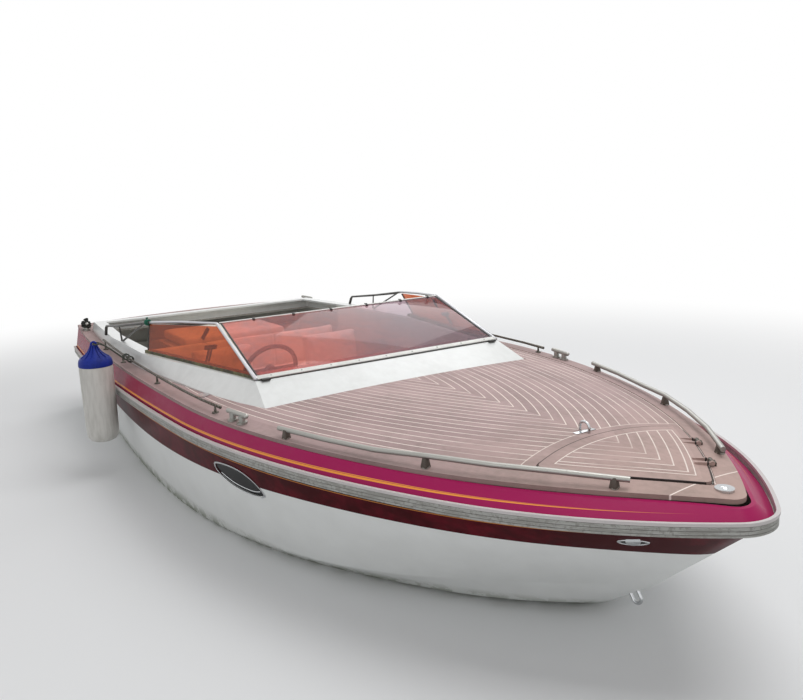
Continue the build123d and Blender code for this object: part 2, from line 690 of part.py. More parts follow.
def make_engine():
    def walls(inset):
        across = (-BOX_HALF + inset, BOX_HALF - inset)
        return block((BOX_BACK_X, BOX_FRONT_X - inset), across, (-420, BOX_TOP_Z))
    box = (walls(0) - walls(15)) & INNER_FIT
    length, width, height = ENGINE_SIZE
    x = (ENGINE_X - length / 2, ENGINE_X + length / 2)
    engine = fillet(block(x, (-width / 2, width / 2), (ENGINE_FOOT_Z, ENGINE_FOOT_Z + height)).edges(), 20)
    save("engine", engine)
    bearers = []
    for hand in (1, -1):
        y = sorted((hand * 190, hand * 240))
        bearers.append(block((-2640, x[1] - 20), y, (-420, ENGINE_FOOT_Z)) & INNER_FIT)
    lid_half = BOX_HALF + 30
    lid = block((BOX_BACK_X, BOX_FRONT_X), (-lid_half, lid_half), (BOX_TOP_Z, BOX_TOP_Z + LID_THICK))
    pin_x, pin_z = BOX_BACK_X - LID_PIN_OUT, BOX_TOP_Z + LID_THICK / 2
    for hand in (1, -1):
        wall_y = sorted((hand * (BOX_HALF - 15), hand * BOX_HALF))
        arm_y = sorted((hand * (BOX_HALF - 35), hand * (BOX_HALF - 20)))
        pin_line = Plane(origin=(pin_x, hand * (BOX_HALF - 17.5), pin_z), z_dir=(0, 1, 0))
        ear = block((pin_x - LID_EAR_R, pin_x + 8), wall_y, (500, pin_z))
        ear = ear + block((pin_x - LID_EAR_R, BOX_BACK_X + 18), wall_y, (500, BOX_TOP_Z))
        ear_line = Plane(origin=(pin_x, hand * (BOX_HALF - 7.5), pin_z), z_dir=(0, 1, 0))
        ear = ear + ear_line * Cylinder(LID_EAR_R, 15)
        box = box + (ear - pin_line * Cylinder(LID_PIN_R + PIN_FIT, 60))
        arm = block((pin_x - 10, BOX_BACK_X + 10), arm_y, (pin_z - 10, pin_z + 10))
        lid = lid + arm + pin_line * Cylinder(LID_PIN_R, 35)
    save("engine_box", box, *bearers)
    save("engine_lid", lid)
    save("sun_pad", cushion((BOX_BACK_X + 20, BOX_FRONT_X - 6), (-BOX_HALF - 20, BOX_HALF + 20),
                            (BOX_TOP_Z + LID_THICK + FIT, BOX_TOP_Z + 124), 30))


def make_berths():
    """V berth in the cabin: plinth and two cushions."""
    top = 200
    plan = block((BULKHEAD_X + PANEL_BOARD + 300, 2100), (-1100, 1100), (SOLE_Z, top))
    well = block((BULKHEAD_X, 1350), (-190, 190), (SOLE_Z - 1, top + 1))
    front = hull_form(60)
    plinth = (plan & front) - well
    inner = block((BULKHEAD_X + PANEL_BOARD + 314, 2060), (-1100, 1100), (SOLE_Z - 1, top - 14))
    hollow = (inner & hull_form(80)) - block((BULKHEAD_X, 1364), (-204, 204), (SOLE_Z - 2, top + 2))
    save("berth_plinth", plinth - hollow)
    pad = block((BULKHEAD_X + PANEL_BOARD + 310, 2040), (12, 1100), (top + FIT, top + 90)) & hull_form(110)
    pad = pad - block((BULKHEAD_X, 1350), (-200, 200), (0, top + 200))
    save("berth_cushions", *both(pad))


def door_knuckle(high, z):
    """Bracket on the bulkhead with the bore for one door hinge pin."""
    x, y = BULKHEAD_X - DOOR_HINGE_OUT, high + 4
    bracket = block((x, BULKHEAD_X), (y - 7, y + 7), (z - 12, z + 12))
    bracket = bracket + Pos(x, y, z) * Cylinder(7, 24)
    return bracket - Pos(x, y, z) * Cylinder(DOOR_PIN_R + PIN_FIT, 40)


def make_door(low, high):
    x, y = BULKHEAD_X - DOOR_HINGE_OUT, high + 4
    door = block((x - 10, x + 10), (low + 6, high - 6), (SOLE_Z + 36, 552))
    for z in DOOR_HINGE_Z:
        arms = block((x - 6, x + 6), (high - 8, y + 6), (z - 30, z + 30))
        arms = arms - block((x - 8, x + 8), (high - 6, y + 8), (z - 14, z + 14))
        door = door + arms + Pos(x, y, z) * Cylinder(DOOR_PIN_R, 56)
    save("cabin_door", door)


# Upper housing of the drive from the side, columns x and z from the pin's centre
DRIVE_HOUSE = [(-75, -30), (-90, 45), (-155, 98), (-290, 104), (-310, 40), (-290, -190),
               (-120, -190), (-75, -100)]

# Half of the gearcase's section, columns distance along it and radius
GEARCASE = [(0, 0), (0, 50), (-250, 56), (-330, 44), (-390, 0)]


def make_drive():
    shield = fillet(block((STERN_X - 30, STERN_X), (-170, 170), (-330, 170)).edges(), 12)
    stub = Plane(origin=(STERN_X - 34, 0, TILT_Z), z_dir=(-1, 0, 0)) * Cylinder(70, 42)
    arm = block((STEER_X, STERN_X - 20), (-ARM_HALF, ARM_HALF), (-15, 15))
    arm = arm + Pos(STEER_X, 0, 0) * Cylinder(ARM_HALF, 30)
    arms = [Pos(0, 0, TILT_Z + side * 165) * arm for side in (-1, 1)]
    bore = Pos(STEER_X, 0, TILT_Z) * Cylinder(PIN_R + PIN_FIT, 500)
    save("transom_shield", (shield + stub + arms) - bore)
    ring = block((STEER_X - 20, STEER_X + 20), (-140, 140), (TILT_Z - 145, TILT_Z + 145))
    ring = ring - block((STEER_X - 30, STEER_X + 30), (-118, 118), (TILT_Z - 118, TILT_Z + 118))
    for side in (-1, 1):
        ring = ring + Pos(STEER_X, 0, TILT_Z + side * 150) * Cylinder(PIN_R, 60)
        ring = ring + Plane(origin=(STEER_X, side * 118, TILT_Z), z_dir=(0, 1, 0)) * Cylinder(PIN_R, 60)
    save("gimbal_ring", ring)
    house = Plane.XZ * make_face(Polyline(*DRIVE_HOUSE, close=True))
    house = extrude(house, amount=84, both=True)
    house = fillet(house.edges().filter_by(Axis.Y, reverse=True), 22)
    leg = Pos(STEER_X, 0, TILT_Z) * house
    for side in (-1, 1):
        ear = Plane(origin=(0, side * 98, 0), z_dir=(0, 1, 0)) * Cylinder(26, 24)
        ear = ear + block((-95, 0), sorted((side * 86, side * 110)), (-26, 26))
        web = block((-120, -80), sorted((side * 70, side * 110)), (-26, 26))
        ear = ear + web - Plane(origin=(0, side * 98, 0), z_dir=(0, 1, 0)) * Cylinder(PIN_R + PIN_FIT, 80)
        leg = leg + Pos(STEER_X, 0, TILT_Z) * ear
    low = TILT_Z - 190
    # Strut sections, columns height, set back, half length, half width
    sections = [(low + 30, 205, 110, 62), (PROP_Z + 150, 210, 120, 40), (PROP_Z, 215, 130, 34)]
    strut = loft([Plane.XY.offset(z) * Pos(STEER_X - back, 0) * Ellipse(a, b)
                  for z, back, a, b in sections])
    plate = Pos(STEER_X - 260, 0, PROP_Z + 190) * extrude(Ellipse(230, 120), amount=10)
    body = revolve(make_face(Polyline(*GEARCASE, close=True)), Axis.X)
    nose = Pos(STEER_X - 405, 0, PROP_Z) * Rot(0, 0, 180) * body
    skeg = Plane.XZ * make_face(Polyline((-120, 0), (-310, 0), (-320, -190), (-250, -200), close=True))
    skeg = Pos(STEER_X + 20, 0, PROP_Z) * extrude(skeg, amount=5, both=True)
    shaft = Plane(origin=(STEER_X - 405, 0, PROP_Z), z_dir=(-1, 0, 0)) * Cylinder(10, 200)
    save("drive_leg", leg + strut + plate + nose + skeg + shaft)


def make_propeller():
    prop = Cylinder(44, 92)
    for k in range(3):
        sections = []
        for radius, chord, thick, pitch in ((30, 44, 9, 62), (100, 72, 6, 44), (PROP_R - 6, 34, 3, 30)):
            place = Plane(origin=(radius, 0, 0), x_dir=(0, cos(radians(pitch)), sin(radians(pitch))),
                          z_dir=(1, 0, 0))
            sections.append(place * make_face(Polyline((-chord, 0), (-chord / 3, thick), (chord / 2, thick),
                                                       (chord, 0), (chord / 3, -thick / 2), close=True)))
        prop = prop + Rot(0, 0, 120 * k) * loft(sections)
    prop = prop - Cylinder(10 + PIN_FIT, 200)
    place = Plane(origin=(STEER_X - 455, 0, PROP_Z), z_dir=(-1, 0, 0))
    save("propeller", place * prop)


def make_fender_line():
    """Lanyard from the side rail through the fender's eye and back."""
    x, y = FENDER
    rail_y, rail_z_here = -DECK_PLAN.half_breadth(x, SIDE_RAIL_INSET), RAIL_DECK_Z + RAIL_STAND
    eye_z = FENDER_Z[1] + 78
    points = [(x - 34, rail_y, rail_z_here), (x - 34, y + 45, eye_z + 8), (x - 30, y, eye_z),
              (x + 30, y, eye_z), (x + 34, y + 45, eye_z + 8), (x + 34, rail_y, rail_z_here)]
    line = rod(points[0], points[1], FENDER_LINE_R)
    for start, end in zip(points[1:], points[2:]):
        line = line + Pos(*start) * Sphere(FENDER_LINE_R) + rod(start, end, FENDER_LINE_R)
    rail = rod((x - 200, rail_y, rail_z_here), (x + 200, rail_y, rail_z_here), RAIL_TUBE_R + FIT)
    save("fender_line", line - rail)


def fender_solid():
    x, y = FENDER
    low, high = FENDER_Z
    r = FENDER_R
    outline = [(0, low), (r - 40, low), (r, low + 60), (r, high - 70), (r - 45, high - 5),
               (26, high + 45), (18, high + 95), (0, high + 95)]
    body = revolve(Plane.XZ * make_face(Polyline(*outline, close=True)), Axis.Z)
    eye = Pos(0, 0, high + 78) * Rot(0, 90, 0) * Cylinder(9, 80)
    return Pos(x, y, 0) * (body - eye)


make_hull()
make_rub_rail()
make_deck_band()
save("coaming", COAMING_SOLID)
lid, hinges = make_hatch(make_deck())
save("fore_hatch", lid)
save("hatch_hinges", *hinges)
make_fittings()
make_screen()
door_low, door_high = make_cabin()
make_door(door_low, door_high)
make_wheel()
make_seats()
make_liner()
make_engine()
make_berths()
make_drive()
make_propeller()
save("fender", fender_solid())
make_fender_line()
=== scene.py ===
"""Sports speedboat: finishes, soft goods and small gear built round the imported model.

Lengths are in metres. X points to the bow, Y to port, Z up, and still water lies at Z = 0.
"""

import math

import bpy
from mathutils import Matrix, Vector


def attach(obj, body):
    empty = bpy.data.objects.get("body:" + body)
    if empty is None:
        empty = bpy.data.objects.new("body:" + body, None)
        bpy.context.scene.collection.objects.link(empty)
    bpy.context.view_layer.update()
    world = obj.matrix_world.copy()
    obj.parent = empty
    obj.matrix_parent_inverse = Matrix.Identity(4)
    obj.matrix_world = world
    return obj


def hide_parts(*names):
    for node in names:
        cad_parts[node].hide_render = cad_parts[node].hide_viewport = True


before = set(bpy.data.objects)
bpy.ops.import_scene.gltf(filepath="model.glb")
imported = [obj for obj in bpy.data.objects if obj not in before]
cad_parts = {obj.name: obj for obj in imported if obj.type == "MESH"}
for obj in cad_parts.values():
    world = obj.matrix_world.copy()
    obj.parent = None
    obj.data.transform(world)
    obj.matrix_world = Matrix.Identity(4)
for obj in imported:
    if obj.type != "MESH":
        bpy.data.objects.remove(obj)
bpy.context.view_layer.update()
bpy.ops.object.select_all(action="DESELECT")
scene = bpy.context.scene
scene.frame_start, scene.frame_end = 1, 24

# Camera of the photograph
CAMERA_AT = (4.566, -2.373, 1.817)
CAMERA_YAW = 147.433
CAMERA_PITCH = 11.769
CAMERA_ROLL = 1.971
CAMERA_LENS = 36.107

# Lines that paint follows, as heights above the water at a distance x from the origin
RAIL_TOP = (0.59641, 0.0253)
BAND_FOOT = (0.375, 0.0339, 0.0334, -0.01164)
# The tan line's drop below the rail top and its width, and the clear gap above it before the painted shade
# under the rail
TAN_DROP, TAN_WIDTH, TAN_GAP = 0.078, 0.005, 0.001
ORANGE_LINES = ((0.008, 0.0155), (0.0163, 0.0195))
# The rub rail's white lip and grooves, as heights from its top
RAIL_LIP_FOOT = -0.0125
RAIL_GROOVES, GROOVE_WIDTH = (-0.0145, -0.030, -0.044), 0.0022
# How far up from the water the scum reaches
SCUM_TOP = 0.085

# The deck's edge in plan: centre and radius of its side arc and of the bow arc that it runs into
SIDE_ARC = ((0.3, -2.895), 4.045)
BOW_ARC = ((0.7373, -1.9459), 3.0)
ARC_TURN = math.radians(24.74)

# Teak: boards, seams, the lines round the hatch, and the half width of the painted shade line along its gap
BOARD_WIDTH = 0.095
BOARD_SEAM = 2.845
PLANK, SEAM = 0.046, 0.0055
HATCH_GAP_SHADE = 0.004
HATCH_MARGIN = 0.058
SEAM_OVERLAP = 0.001

# Laid rope: length of a strand's turn, a strand's radius and its distance from the middle, in diameters
ROPE_LAY = 3.4
STRAND_RADIUS, STRAND_OUT = 0.27, 0.24

# Fender, its line and the other ropes
FENDER_AT = (-0.700, -1.3185)
# The cap's sides, how many of them make one flute, and how many of those are sunk
CAP_SIDES, FLUTE_SIDES, SUNK_SIDES = 60, 5, 2
RAIL_Y, RAIL_Z = -1.113, 0.760
LANYARD_D = 0.010
# Turns of the lanyard on the rail: their radius, number and rise
LANYARD_TURNS = (0.0185, 2.5, 0.0105)
# The lanyard's route as the frame has it; its first and last points are where it is wound on the rail
LANYARD_LINE = ((-0.734, -1.113, 0.760), (-0.734, -1.2735, 0.886), (-0.730, -1.3185, 0.878),
                (-0.670, -1.3185, 0.878), (-0.666, -1.2735, 0.886), (-0.666, -1.113, 0.760))
TWINE_AT = (-0.652, -0.975, 0.985)
TWINE_D = 0.005
# The twine's knot and tail, each point a step from the knot
TWINE_KNOT = ((0, 0, 0), (0.008, 0.004, 0.004), (0.004, 0.008, -0.003), (-0.003, 0.001, -0.005),
              (0.003, -0.005, 0.003), (0.010, 0.002, -0.001), (0.003, 0.004, 0.006), (0.002, 0, 0))
STERN_CLEAT = (-2.4, -1.0168, 0.765)
STERN_ROPE_D = 0.012
# Its turns round the cleat: how many, points to a turn, rise of a turn, and foot and top from the cleat
HANK_TURNS, HANK_POINTS, HANK_RISE = 7, 8, 0.0062
HANK_FOOT, HANK_TOP = -0.036, 0.018
# Its last turns over the cleat's horns, x and y from the cleat and z from the top of the hank
HANK_OVER = ((0.05, -0.01, 0), (0.02, 0.02, 0.006), (-0.03, -0.015, 0.004), (-0.055, 0.012, 0),
             (-0.03, 0.028, 0.012), (0.02, -0.02, 0.014), (0.045, 0.006, 0.008), (0.012, 0.016, 0.018),
             (-0.018, -0.004, 0.012), (-0.012, -0.002, -0.028))

# Small gear. Lines are dropped on the deck and the sides from a height and a half breadth clear of them.
ABOVE_DECK, OUTSIDE = 1.2, 1.6
BRACKET_X = (1.398, 2.094, 2.690)
BOW_RAIL_INSET = 0.026
# Lower edge of the portlight from the side, x and z
PORTLIGHT_LINE = ((0.88, 0.424), (0.94, 0.401), (1.005, 0.389), (1.086, 0.386), (1.15, 0.389), (1.195, 0.404))
# Its bead and lip: height over that edge, distance off the hull, and radius
BEAD, LIP = (0.016, 0.002, 0.0032), (-0.011, 0.001, 0.0042)
# A ray that finds the port side light's place on the hull, and the oval of its bezel
SIDELIGHT_FROM, SIDELIGHT_WAY = (3.365, 1.032, 0.546), (-0.62, -0.78, 0)
SIDELIGHT_OVAL = (1.7, 0.72, 1)
# The port side window's aft seal from foot to head, and the points on the centreline that are abreast of
# its strap and its catch
WINDOW_SEAL = ((-0.559, 1.0165, 0.823), (-0.638, 0.9725, 0.972))
STRAP_AT, CATCH_AT = (0.008, 0, 0.985), (0.115, 0, 0.922)
DECK_EYE_X = 2.252
# The helm's gauges, each its y and radius, and a point and the normal of the slope they sit on
GAUGES = ((-0.60, 0.030), (-0.50, 0.044), (-0.36, 0.044), (-0.26, 0.030))
DASH_POINT, DASH_SLOPE = (0.318, 0.742), (-0.61, 0, 0.79)

# Front screen: foot and head of its face on the centreline, and its half widths there
SCREEN_FOOT, SCREEN_HEAD = (0.698, 0, 0.822), (0.095, 0, 1.047)
SCREEN_HALVES = (0.802, 0.772)
SCREW_Y = (-0.72, -0.54, -0.36, -0.18, 0.0, 0.18, 0.36, 0.54, 0.72)
CLIP_Y = (-0.56, -0.30, -0.04, 0.22, 0.48, 0.70)

# Rails drawn thinner than their solids: from what height up, and by how much
SIDE_RAIL_FROM, SIDE_RAIL_LESS = 0.7478, 0.004
COCKPIT_RAIL_FROM, COCKPIT_RAIL_LESS = 0.84, 0.003

# Cushions: cloth pressure and the frames it is given
PRESSURE, SWELL_FRAMES = 4, 20

# Studio: where the floor fades out, how bright the world shines and looks, and the lamps, each with its
# name, place, size and power
FLOOR_FADE = (3.5, 8.0)
WORLD_LIGHT, WORLD_SEEN = 0.48, 1.0
LAMP_TARGET = (0, 0, 0.4)
LAMPS = (("key", (2.0, 2.0, 8.0), 6.0, 330.0), ("fill", (5.0, -7.0, 4.0), 5.0, 50.0),
         ("back", (-5.0, 5.0, 6.0), 5.0, 120.0))


def linear(red, green, blue):
    """A shader colour from screen values of 0 to 255."""
    values = []
    for part in (red, green, blue):
        part = part / 255
        values.append(part / 12.92 if part <= 0.04045 else ((part + 0.055) / 1.055) ** 2.4)
    return (*values, 1.0)


# Colours
WHITE_GEL = linear(228, 230, 229)
MAROON = linear(60, 2, 10)
INNER_GEL = linear(206, 206, 200)
MAGENTA = linear(168, 34, 92)
BAND_RED = linear(140, 20, 46)
BAND_FADED = linear(164, 78, 102)
ORANGE = linear(255, 168, 76)
TAN = linear(190, 122, 62)
TEAK_PINK = linear(184, 158, 156)
TEAK_DARK = linear(152, 128, 127)
TEAK_WARM = linear(188, 160, 148)
CAULK = linear(236, 222, 214)
# Dark brown: painted shade under the rail, in its grooves, on the board's edges and along the hatch gap; also
# a stain on the dash and cabin fabric
SHADE_AND_STAIN = linear(40, 28, 26)
RAIL_GREY = linear(168, 168, 164)
RAIL_WHITE = linear(206, 200, 200)
GRIME = linear(96, 92, 80)
ALGAE = linear(86, 96, 62)
PITTED = linear(70, 62, 52)
# Dark grey: painted shade on the tubes towards the stern
METAL_SHADE = linear(84, 82, 80)


def plug(tree, socket, value):
    """Give a socket a plain value, or link another node's output to it."""
    if isinstance(value, bpy.types.NodeSocket):
        tree.links.new(value, socket)
    else:
        socket.default_value = value


def wire(tree, kind, inputs=None, **settings):
    """Add a shader node; its inputs are plain values or the outputs of other nodes."""
    node = tree.nodes.new("ShaderNode" + kind)
    for name, value in settings.items():
        setattr(node, name, value)
    for name, value in (inputs or {}).items():
        plug(tree, node.inputs[name], value)
    return node


def sums(tree, operation, first, second=0.0, third=0.0):
    """One step of arithmetic; gives its output."""
    return wire(tree, "Math", {0: first, 1: second, 2: third}, operation=operation).outputs[0]


def blend_colours(tree, share, first, second):
    return wire(tree, "Mix", {0: share, 6: first, 7: second}, data_type="RGBA").outputs[2]


def parts_of(tree, vector):
    """The X, Y and Z of a vector."""
    return wire(tree, "SeparateXYZ", {"Vector": vector}).outputs


def stretch(tree, vector, x, y, z):
    """A vector with its parts multiplied."""
    factors = wire(tree, "CombineXYZ", {"X": x, "Y": y, "Z": z}).outputs[0]
    return wire(tree, "VectorMath", {0: vector, 1: factors}, operation="MULTIPLY").outputs[0]


def ramp(tree, value, start, end, low=0.0, high=1.0):
    """Goes from low to high while a value goes from start to end, and stays level outside."""
    limits = {"Value": value, "From Min": start, "From Max": end, "To Min": low, "To Max": high}
    return wire(tree, "MapRange", limits).outputs["Result"]


def cloud(tree, point, size, detail, rough=0.5):
    """Soft noise of a size and detail."""
    values = {"Vector": point, "Scale": size, "Detail": detail, "Roughness": rough}
    return wire(tree, "TexNoise", values).outputs["Fac"]


def effect(name, inputs, outputs):
    """Start a node group; an input is a name, a kind and a start value, an output a name and a kind."""
    tree = bpy.data.node_groups.new(name, "ShaderNodeTree")
    kinds = {"value": "NodeSocketFloat", "colour": "NodeSocketColor", "vector": "NodeSocketVector"}
    for label, kind, start in inputs:
        socket = tree.interface.new_socket(name=label, in_out="INPUT", socket_type=kinds[kind])
        socket.default_value = start
    for label, kind in outputs:
        tree.interface.new_socket(name=label, in_out="OUTPUT", socket_type=kinds[kind])
    return tree, tree.nodes.new("NodeGroupInput").outputs, tree.nodes.new("NodeGroupOutput").inputs


def use(tree, group, **inputs):
    """Place a node group; spaces in its socket names are written as underscores."""
    node = tree.nodes.new("ShaderNodeGroup")
    node.node_tree = group
    for name, value in inputs.items():
        plug(tree, node.inputs[name.replace("_", " ")], value)
    return node.outputs


def make_stripe():
    """1 between two heights above a line, with soft edges."""
    tree, ins, outs = effect("stripe", [("Height", "value", 0), ("Low", "value", 0), ("High", "value", 0.1),
                                        ("Edge", "value", 0.0006)], [("Mask", "value")])
    rise = sums(tree, "DIVIDE", sums(tree, "SUBTRACT", ins["Height"], ins["Low"]), ins["Edge"])
    fall = sums(tree, "DIVIDE", sums(tree, "SUBTRACT", ins["High"], ins["Height"]), ins["Edge"])
    both = sums(tree, "MINIMUM", rise, fall)
    tree.links.new(wire(tree, "Clamp", {"Value": both}).outputs[0], outs["Mask"])
    return tree


def make_arc_inset():
    """Distance from an arc towards its centre, the same to port and starboard."""
    tree, ins, outs = effect("arc inset", [("Point", "vector", (0, 0, 0)), ("Centre", "vector", (0, 0, 0)),
                                           ("Radius", "value", 1.0)], [("Inset", "value")])
    parts = parts_of(tree, ins["Point"])
    flat = wire(tree, "CombineXYZ", {"X": parts["X"], "Y": sums(tree, "ABSOLUTE", parts["Y"])}).outputs[0]
    away = wire(tree, "VectorMath", {0: flat, 1: ins["Centre"]}, operation="DISTANCE").outputs["Value"]
    tree.links.new(sums(tree, "SUBTRACT", ins["Radius"], away), outs["Inset"])
    return tree


def make_weathering():
    """Dirt and fading in soft patches and run-down streaks."""
    tree, ins, outs = effect("weathering", [
        ("Point", "vector", (0, 0, 0)), ("Colour", "colour", (1, 1, 1, 1)), ("Stain", "colour", (0, 0, 0, 1)),
        ("Amount", "value", 0.2), ("Size", "value", 3.0), ("Streak", "value", 1.0)],
        [("Colour", "colour"), ("Stained", "value")])
    point = stretch(tree, ins["Point"], 1.0, 1.0, sums(tree, "DIVIDE", 1.0, ins["Streak"]))
    coarse = cloud(tree, point, ins["Size"], 6.0, 0.6)
    fine = cloud(tree, point, sums(tree, "MULTIPLY", ins["Size"], 9.0), 3.0)
    both = sums(tree, "MULTIPLY", coarse, sums(tree, "ADD", fine, 0.5))
    share = sums(tree, "MULTIPLY", ramp(tree, both, 0.42, 0.75), ins["Amount"])
    tree.links.new(blend_colours(tree, share, ins["Colour"], ins["Stain"]), outs["Colour"])
    tree.links.new(share, outs["Stained"])
    return tree


def make_speckle():
    """Small scattered pits and flecks."""
    tree, ins, outs = effect("speckle", [("Point", "vector", (0, 0, 0)), ("Size", "value", 90.0),
                                         ("Share", "value", 0.2)], [("Mask", "value")])
    noise = cloud(tree, ins["Point"], ins["Size"], 5.0, 0.7)
    edge = sums(tree, "SUBTRACT", 0.72, ins["Share"])
    tree.links.new(ramp(tree, noise, edge, sums(tree, "ADD", edge, 0.05)), outs["Mask"])
    return tree


STRIPE, ARC_INSET = make_stripe(), make_arc_inset()
WEATHERING, SPECKLE = make_weathering(), make_speckle()


def stripe(tree, height, low, high, edge=0.0006):
    """1 between two heights, with soft edges."""
    return use(tree, STRIPE, Height=height, Low=low, High=high, Edge=edge)["Mask"]


def speckle(tree, point, size, share):
    return use(tree, SPECKLE, Point=point, Size=size, Share=share)["Mask"]


def weather(tree, point, colour, stain, amount, size, streak=1.0):
    """A colour with dirt or fading over it, and how stained it is."""
    return use(tree, WEATHERING, Point=point, Colour=colour, Stain=stain, Amount=amount, Size=size,
               Streak=streak)


def paint(tree, surface, colour):
    tree.links.new(colour, surface.inputs["Base Color"])


def finish(name, colour, rough, metal=0.0, coat=0.0, **shader):
    """A new material with its constant values on the shader; returns it, its tree, shader and point."""
    material = bpy.data.materials.new(name)
    material.use_nodes = True
    tree = material.node_tree
    surface = tree.nodes["Principled BSDF"]
    values = {"Base Color": colour, "Roughness": rough, "Metallic": metal, "Coat Weight": coat,
              "Coat Roughness": 0.12}
    values.update({key.replace("_", " "): value for key, value in shader.items()})
    for key, value in values.items():
        surface.inputs[key].default_value = value
    point = wire(tree, "TexCoord").outputs["Object"]
    return material, tree, surface, point


def worn(name, colour, rough, stain, amount, size=3.0, streak=1.0, **shader):
    """A plain material with dirt or fading over it."""
    material, tree, surface, point = finish(name, colour, rough, **shader)
    out = weather(tree, point, colour, stain, amount, size, streak)
    paint(tree, surface, out["Colour"])
    spread = ramp(tree, out["Stained"], 0.0, 1.0, rough, min(1.0, rough + 0.35))
    tree.links.new(spread, surface.inputs["Roughness"])
    return material


def bump(tree, surface, height, depth):
    node = wire(tree, "Bump", {"Height": height, "Distance": depth, "Strength": 1.0})
    tree.links.new(node.outputs["Normal"], surface.inputs["Normal"])


def facing_out(tree, point):
    """1 on the outer side of a shell round the origin, 0 on its inner side."""
    normal = wire(tree, "NewGeometry").outputs["Normal"]
    flat = wire(tree, "VectorMath", {0: point, 1: (1.0, 1.0, 0.0)}, operation="MULTIPLY").outputs[0]
    dot = wire(tree, "VectorMath", {0: normal, 1: flat}, operation="DOT_PRODUCT").outputs["Value"]
    return sums(tree, "GREATER_THAN", dot, 0.0)


def above_line(tree, point, line):
    """Height above a line given as the factors of 1, x, x squared and so on."""
    parts = parts_of(tree, point)
    level, power = line[0], None
    for factor in line[1:]:
        power = parts["X"] if power is None else sums(tree, "MULTIPLY", power, parts["X"])
        level = sums(tree, "MULTIPLY_ADD", power, factor, level)
    return sums(tree, "SUBTRACT", parts["Z"], level), parts


def hull_finish():
    """White gelcoat with the dark band under the rail, a tan line in it, painted shade from above that line
    up under the rail, and scum at the water.
    """
    material, tree, surface, point = finish("hull gelcoat", WHITE_GEL, 0.3, Specular_IOR_Level=0.04)
    aged = weather(tree, point, WHITE_GEL, GRIME, 0.08, 0.7)["Colour"]
    band_edge, parts = above_line(tree, point, BAND_FOOT)
    band = stripe(tree, band_edge, 0.0, 1.0)
    below_rail, _ = above_line(tree, point, RAIL_TOP)
    line = stripe(tree, below_rail, -TAN_DROP, TAN_WIDTH - TAN_DROP)
    dark = weather(tree, point, MAROON, BAND_RED, 0.35, 2.0)["Colour"]
    colour = blend_colours(tree, band, aged, dark)
    # Painted shade: dark from just above the tan line up to the rail, as if shaded by the rail's overhang
    gap_shade = stripe(tree, below_rail, TAN_WIDTH - TAN_DROP + TAN_GAP, 0.1)
    colour = blend_colours(tree, line, blend_colours(tree, gap_shade, colour, SHADE_AND_STAIN), TAN)
    low = ramp(tree, parts["Z"], SCUM_TOP, 0.0)
    patchy = sums(tree, "MULTIPLY_ADD", speckle(tree, point, 14.0, 0.26), 0.5, 0.35)
    colour = blend_colours(tree, sums(tree, "MULTIPLY", low, patchy), colour, ALGAE)
    colour = blend_colours(tree, facing_out(tree, point), INNER_GEL, colour)
    paint(tree, surface, colour)
    return material


def band_finish():
    """Magenta band above the rail: mottled and faded aft, with the double orange line."""
    material, tree, surface, point = finish("red band gelcoat", MAGENTA, 0.26, Specular_IOR_Level=0.1)
    above, parts = above_line(tree, point, RAIL_TOP)
    aft = ramp(tree, parts["X"], 1.5, -0.8)
    base = blend_colours(tree, sums(tree, "MULTIPLY", aft, 0.75), MAGENTA, BAND_RED)
    faded = weather(tree, point, base, BAND_FADED, sums(tree, "MULTIPLY_ADD", aft, 0.5, 0.1), 2.6, 0.7)
    taper = ramp(tree, parts["X"], 1.9, 2.97, 1.0, 0.0)
    start, lines = ORANGE_LINES[0][0], []
    for line in ORANGE_LINES:
        foot, top = (sums(tree, "MULTIPLY_ADD", height - start, taper, start) for height in line)
        lines.append(stripe(tree, above, foot, top))
    orange = sums(tree, "MAXIMUM", *lines)
    colour = blend_colours(tree, orange, faded["Colour"], ORANGE)
    colour = blend_colours(tree, facing_out(tree, point), INNER_GEL, colour)
    paint(tree, surface, colour)
    return material


def rail_finish():
    """Weathered grey rail with a white lip, fine grooves darkened with painted shade, and dark flecks."""
    material, tree, surface, point = finish("rub rail vinyl", RAIL_GREY, 0.55)
    above, _ = above_line(tree, point, RAIL_TOP)
    pits = speckle(tree, point, 60.0, 0.2)
    scuffs = speckle(tree, stretch(tree, point, 0.25, 0.25, 2.0), 34.0, 0.24)
    marks = sums(tree, "MAXIMUM", sums(tree, "MULTIPLY", pits, 0.45), sums(tree, "MULTIPLY", scuffs, 0.35))
    colour = blend_colours(tree, marks, RAIL_GREY, GRIME)
    lip = stripe(tree, above, RAIL_LIP_FOOT, 0.2, 0.001)
    colour = blend_colours(tree, sums(tree, "MULTIPLY", lip, 0.85), colour, RAIL_WHITE)
    # Painted shade: the grooves are darkened as shade in their hollows
    grooves = [stripe(tree, above, low, low + GROOVE_WIDTH) for low in RAIL_GROOVES]
    groove = sums(tree, "MAXIMUM", grooves[0], sums(tree, "MAXIMUM", grooves[1], grooves[2]))
    colour = blend_colours(tree, sums(tree, "MULTIPLY", groove, 0.6), colour, SHADE_AND_STAIN)
    paint(tree, surface, colour)
    bump(tree, surface, sums(tree, "SUBTRACT", 1.0, sums(tree, "MULTIPLY_ADD", marks, 0.3, groove)), 0.0015)
    return material


def through_three(a, b, c):
    """Centre and radius of the circle through three points in plan."""
    (ax, ay), (bx, by), (cx, cy) = a, b, c
    d = 2 * (ax * (by - cy) + bx * (cy - ay) + cx * (ay - by))
    aa, bb, cc = ax * ax + ay * ay, bx * bx + by * by, cx * cx + cy * cy
    x = (aa * (by - cy) + bb * (cy - ay) + cc * (ay - by)) / d
    y = (aa * (cx - bx) + bb * (ax - cx) + cc * (bx - ax)) / d
    return (x, y), math.hypot(ax - x, ay - y)


def arc_inset(tree, point, centre, radius):
    return use(tree, ARC_INSET, Point=point, Centre=(*centre, 0), Radius=radius)["Inset"]


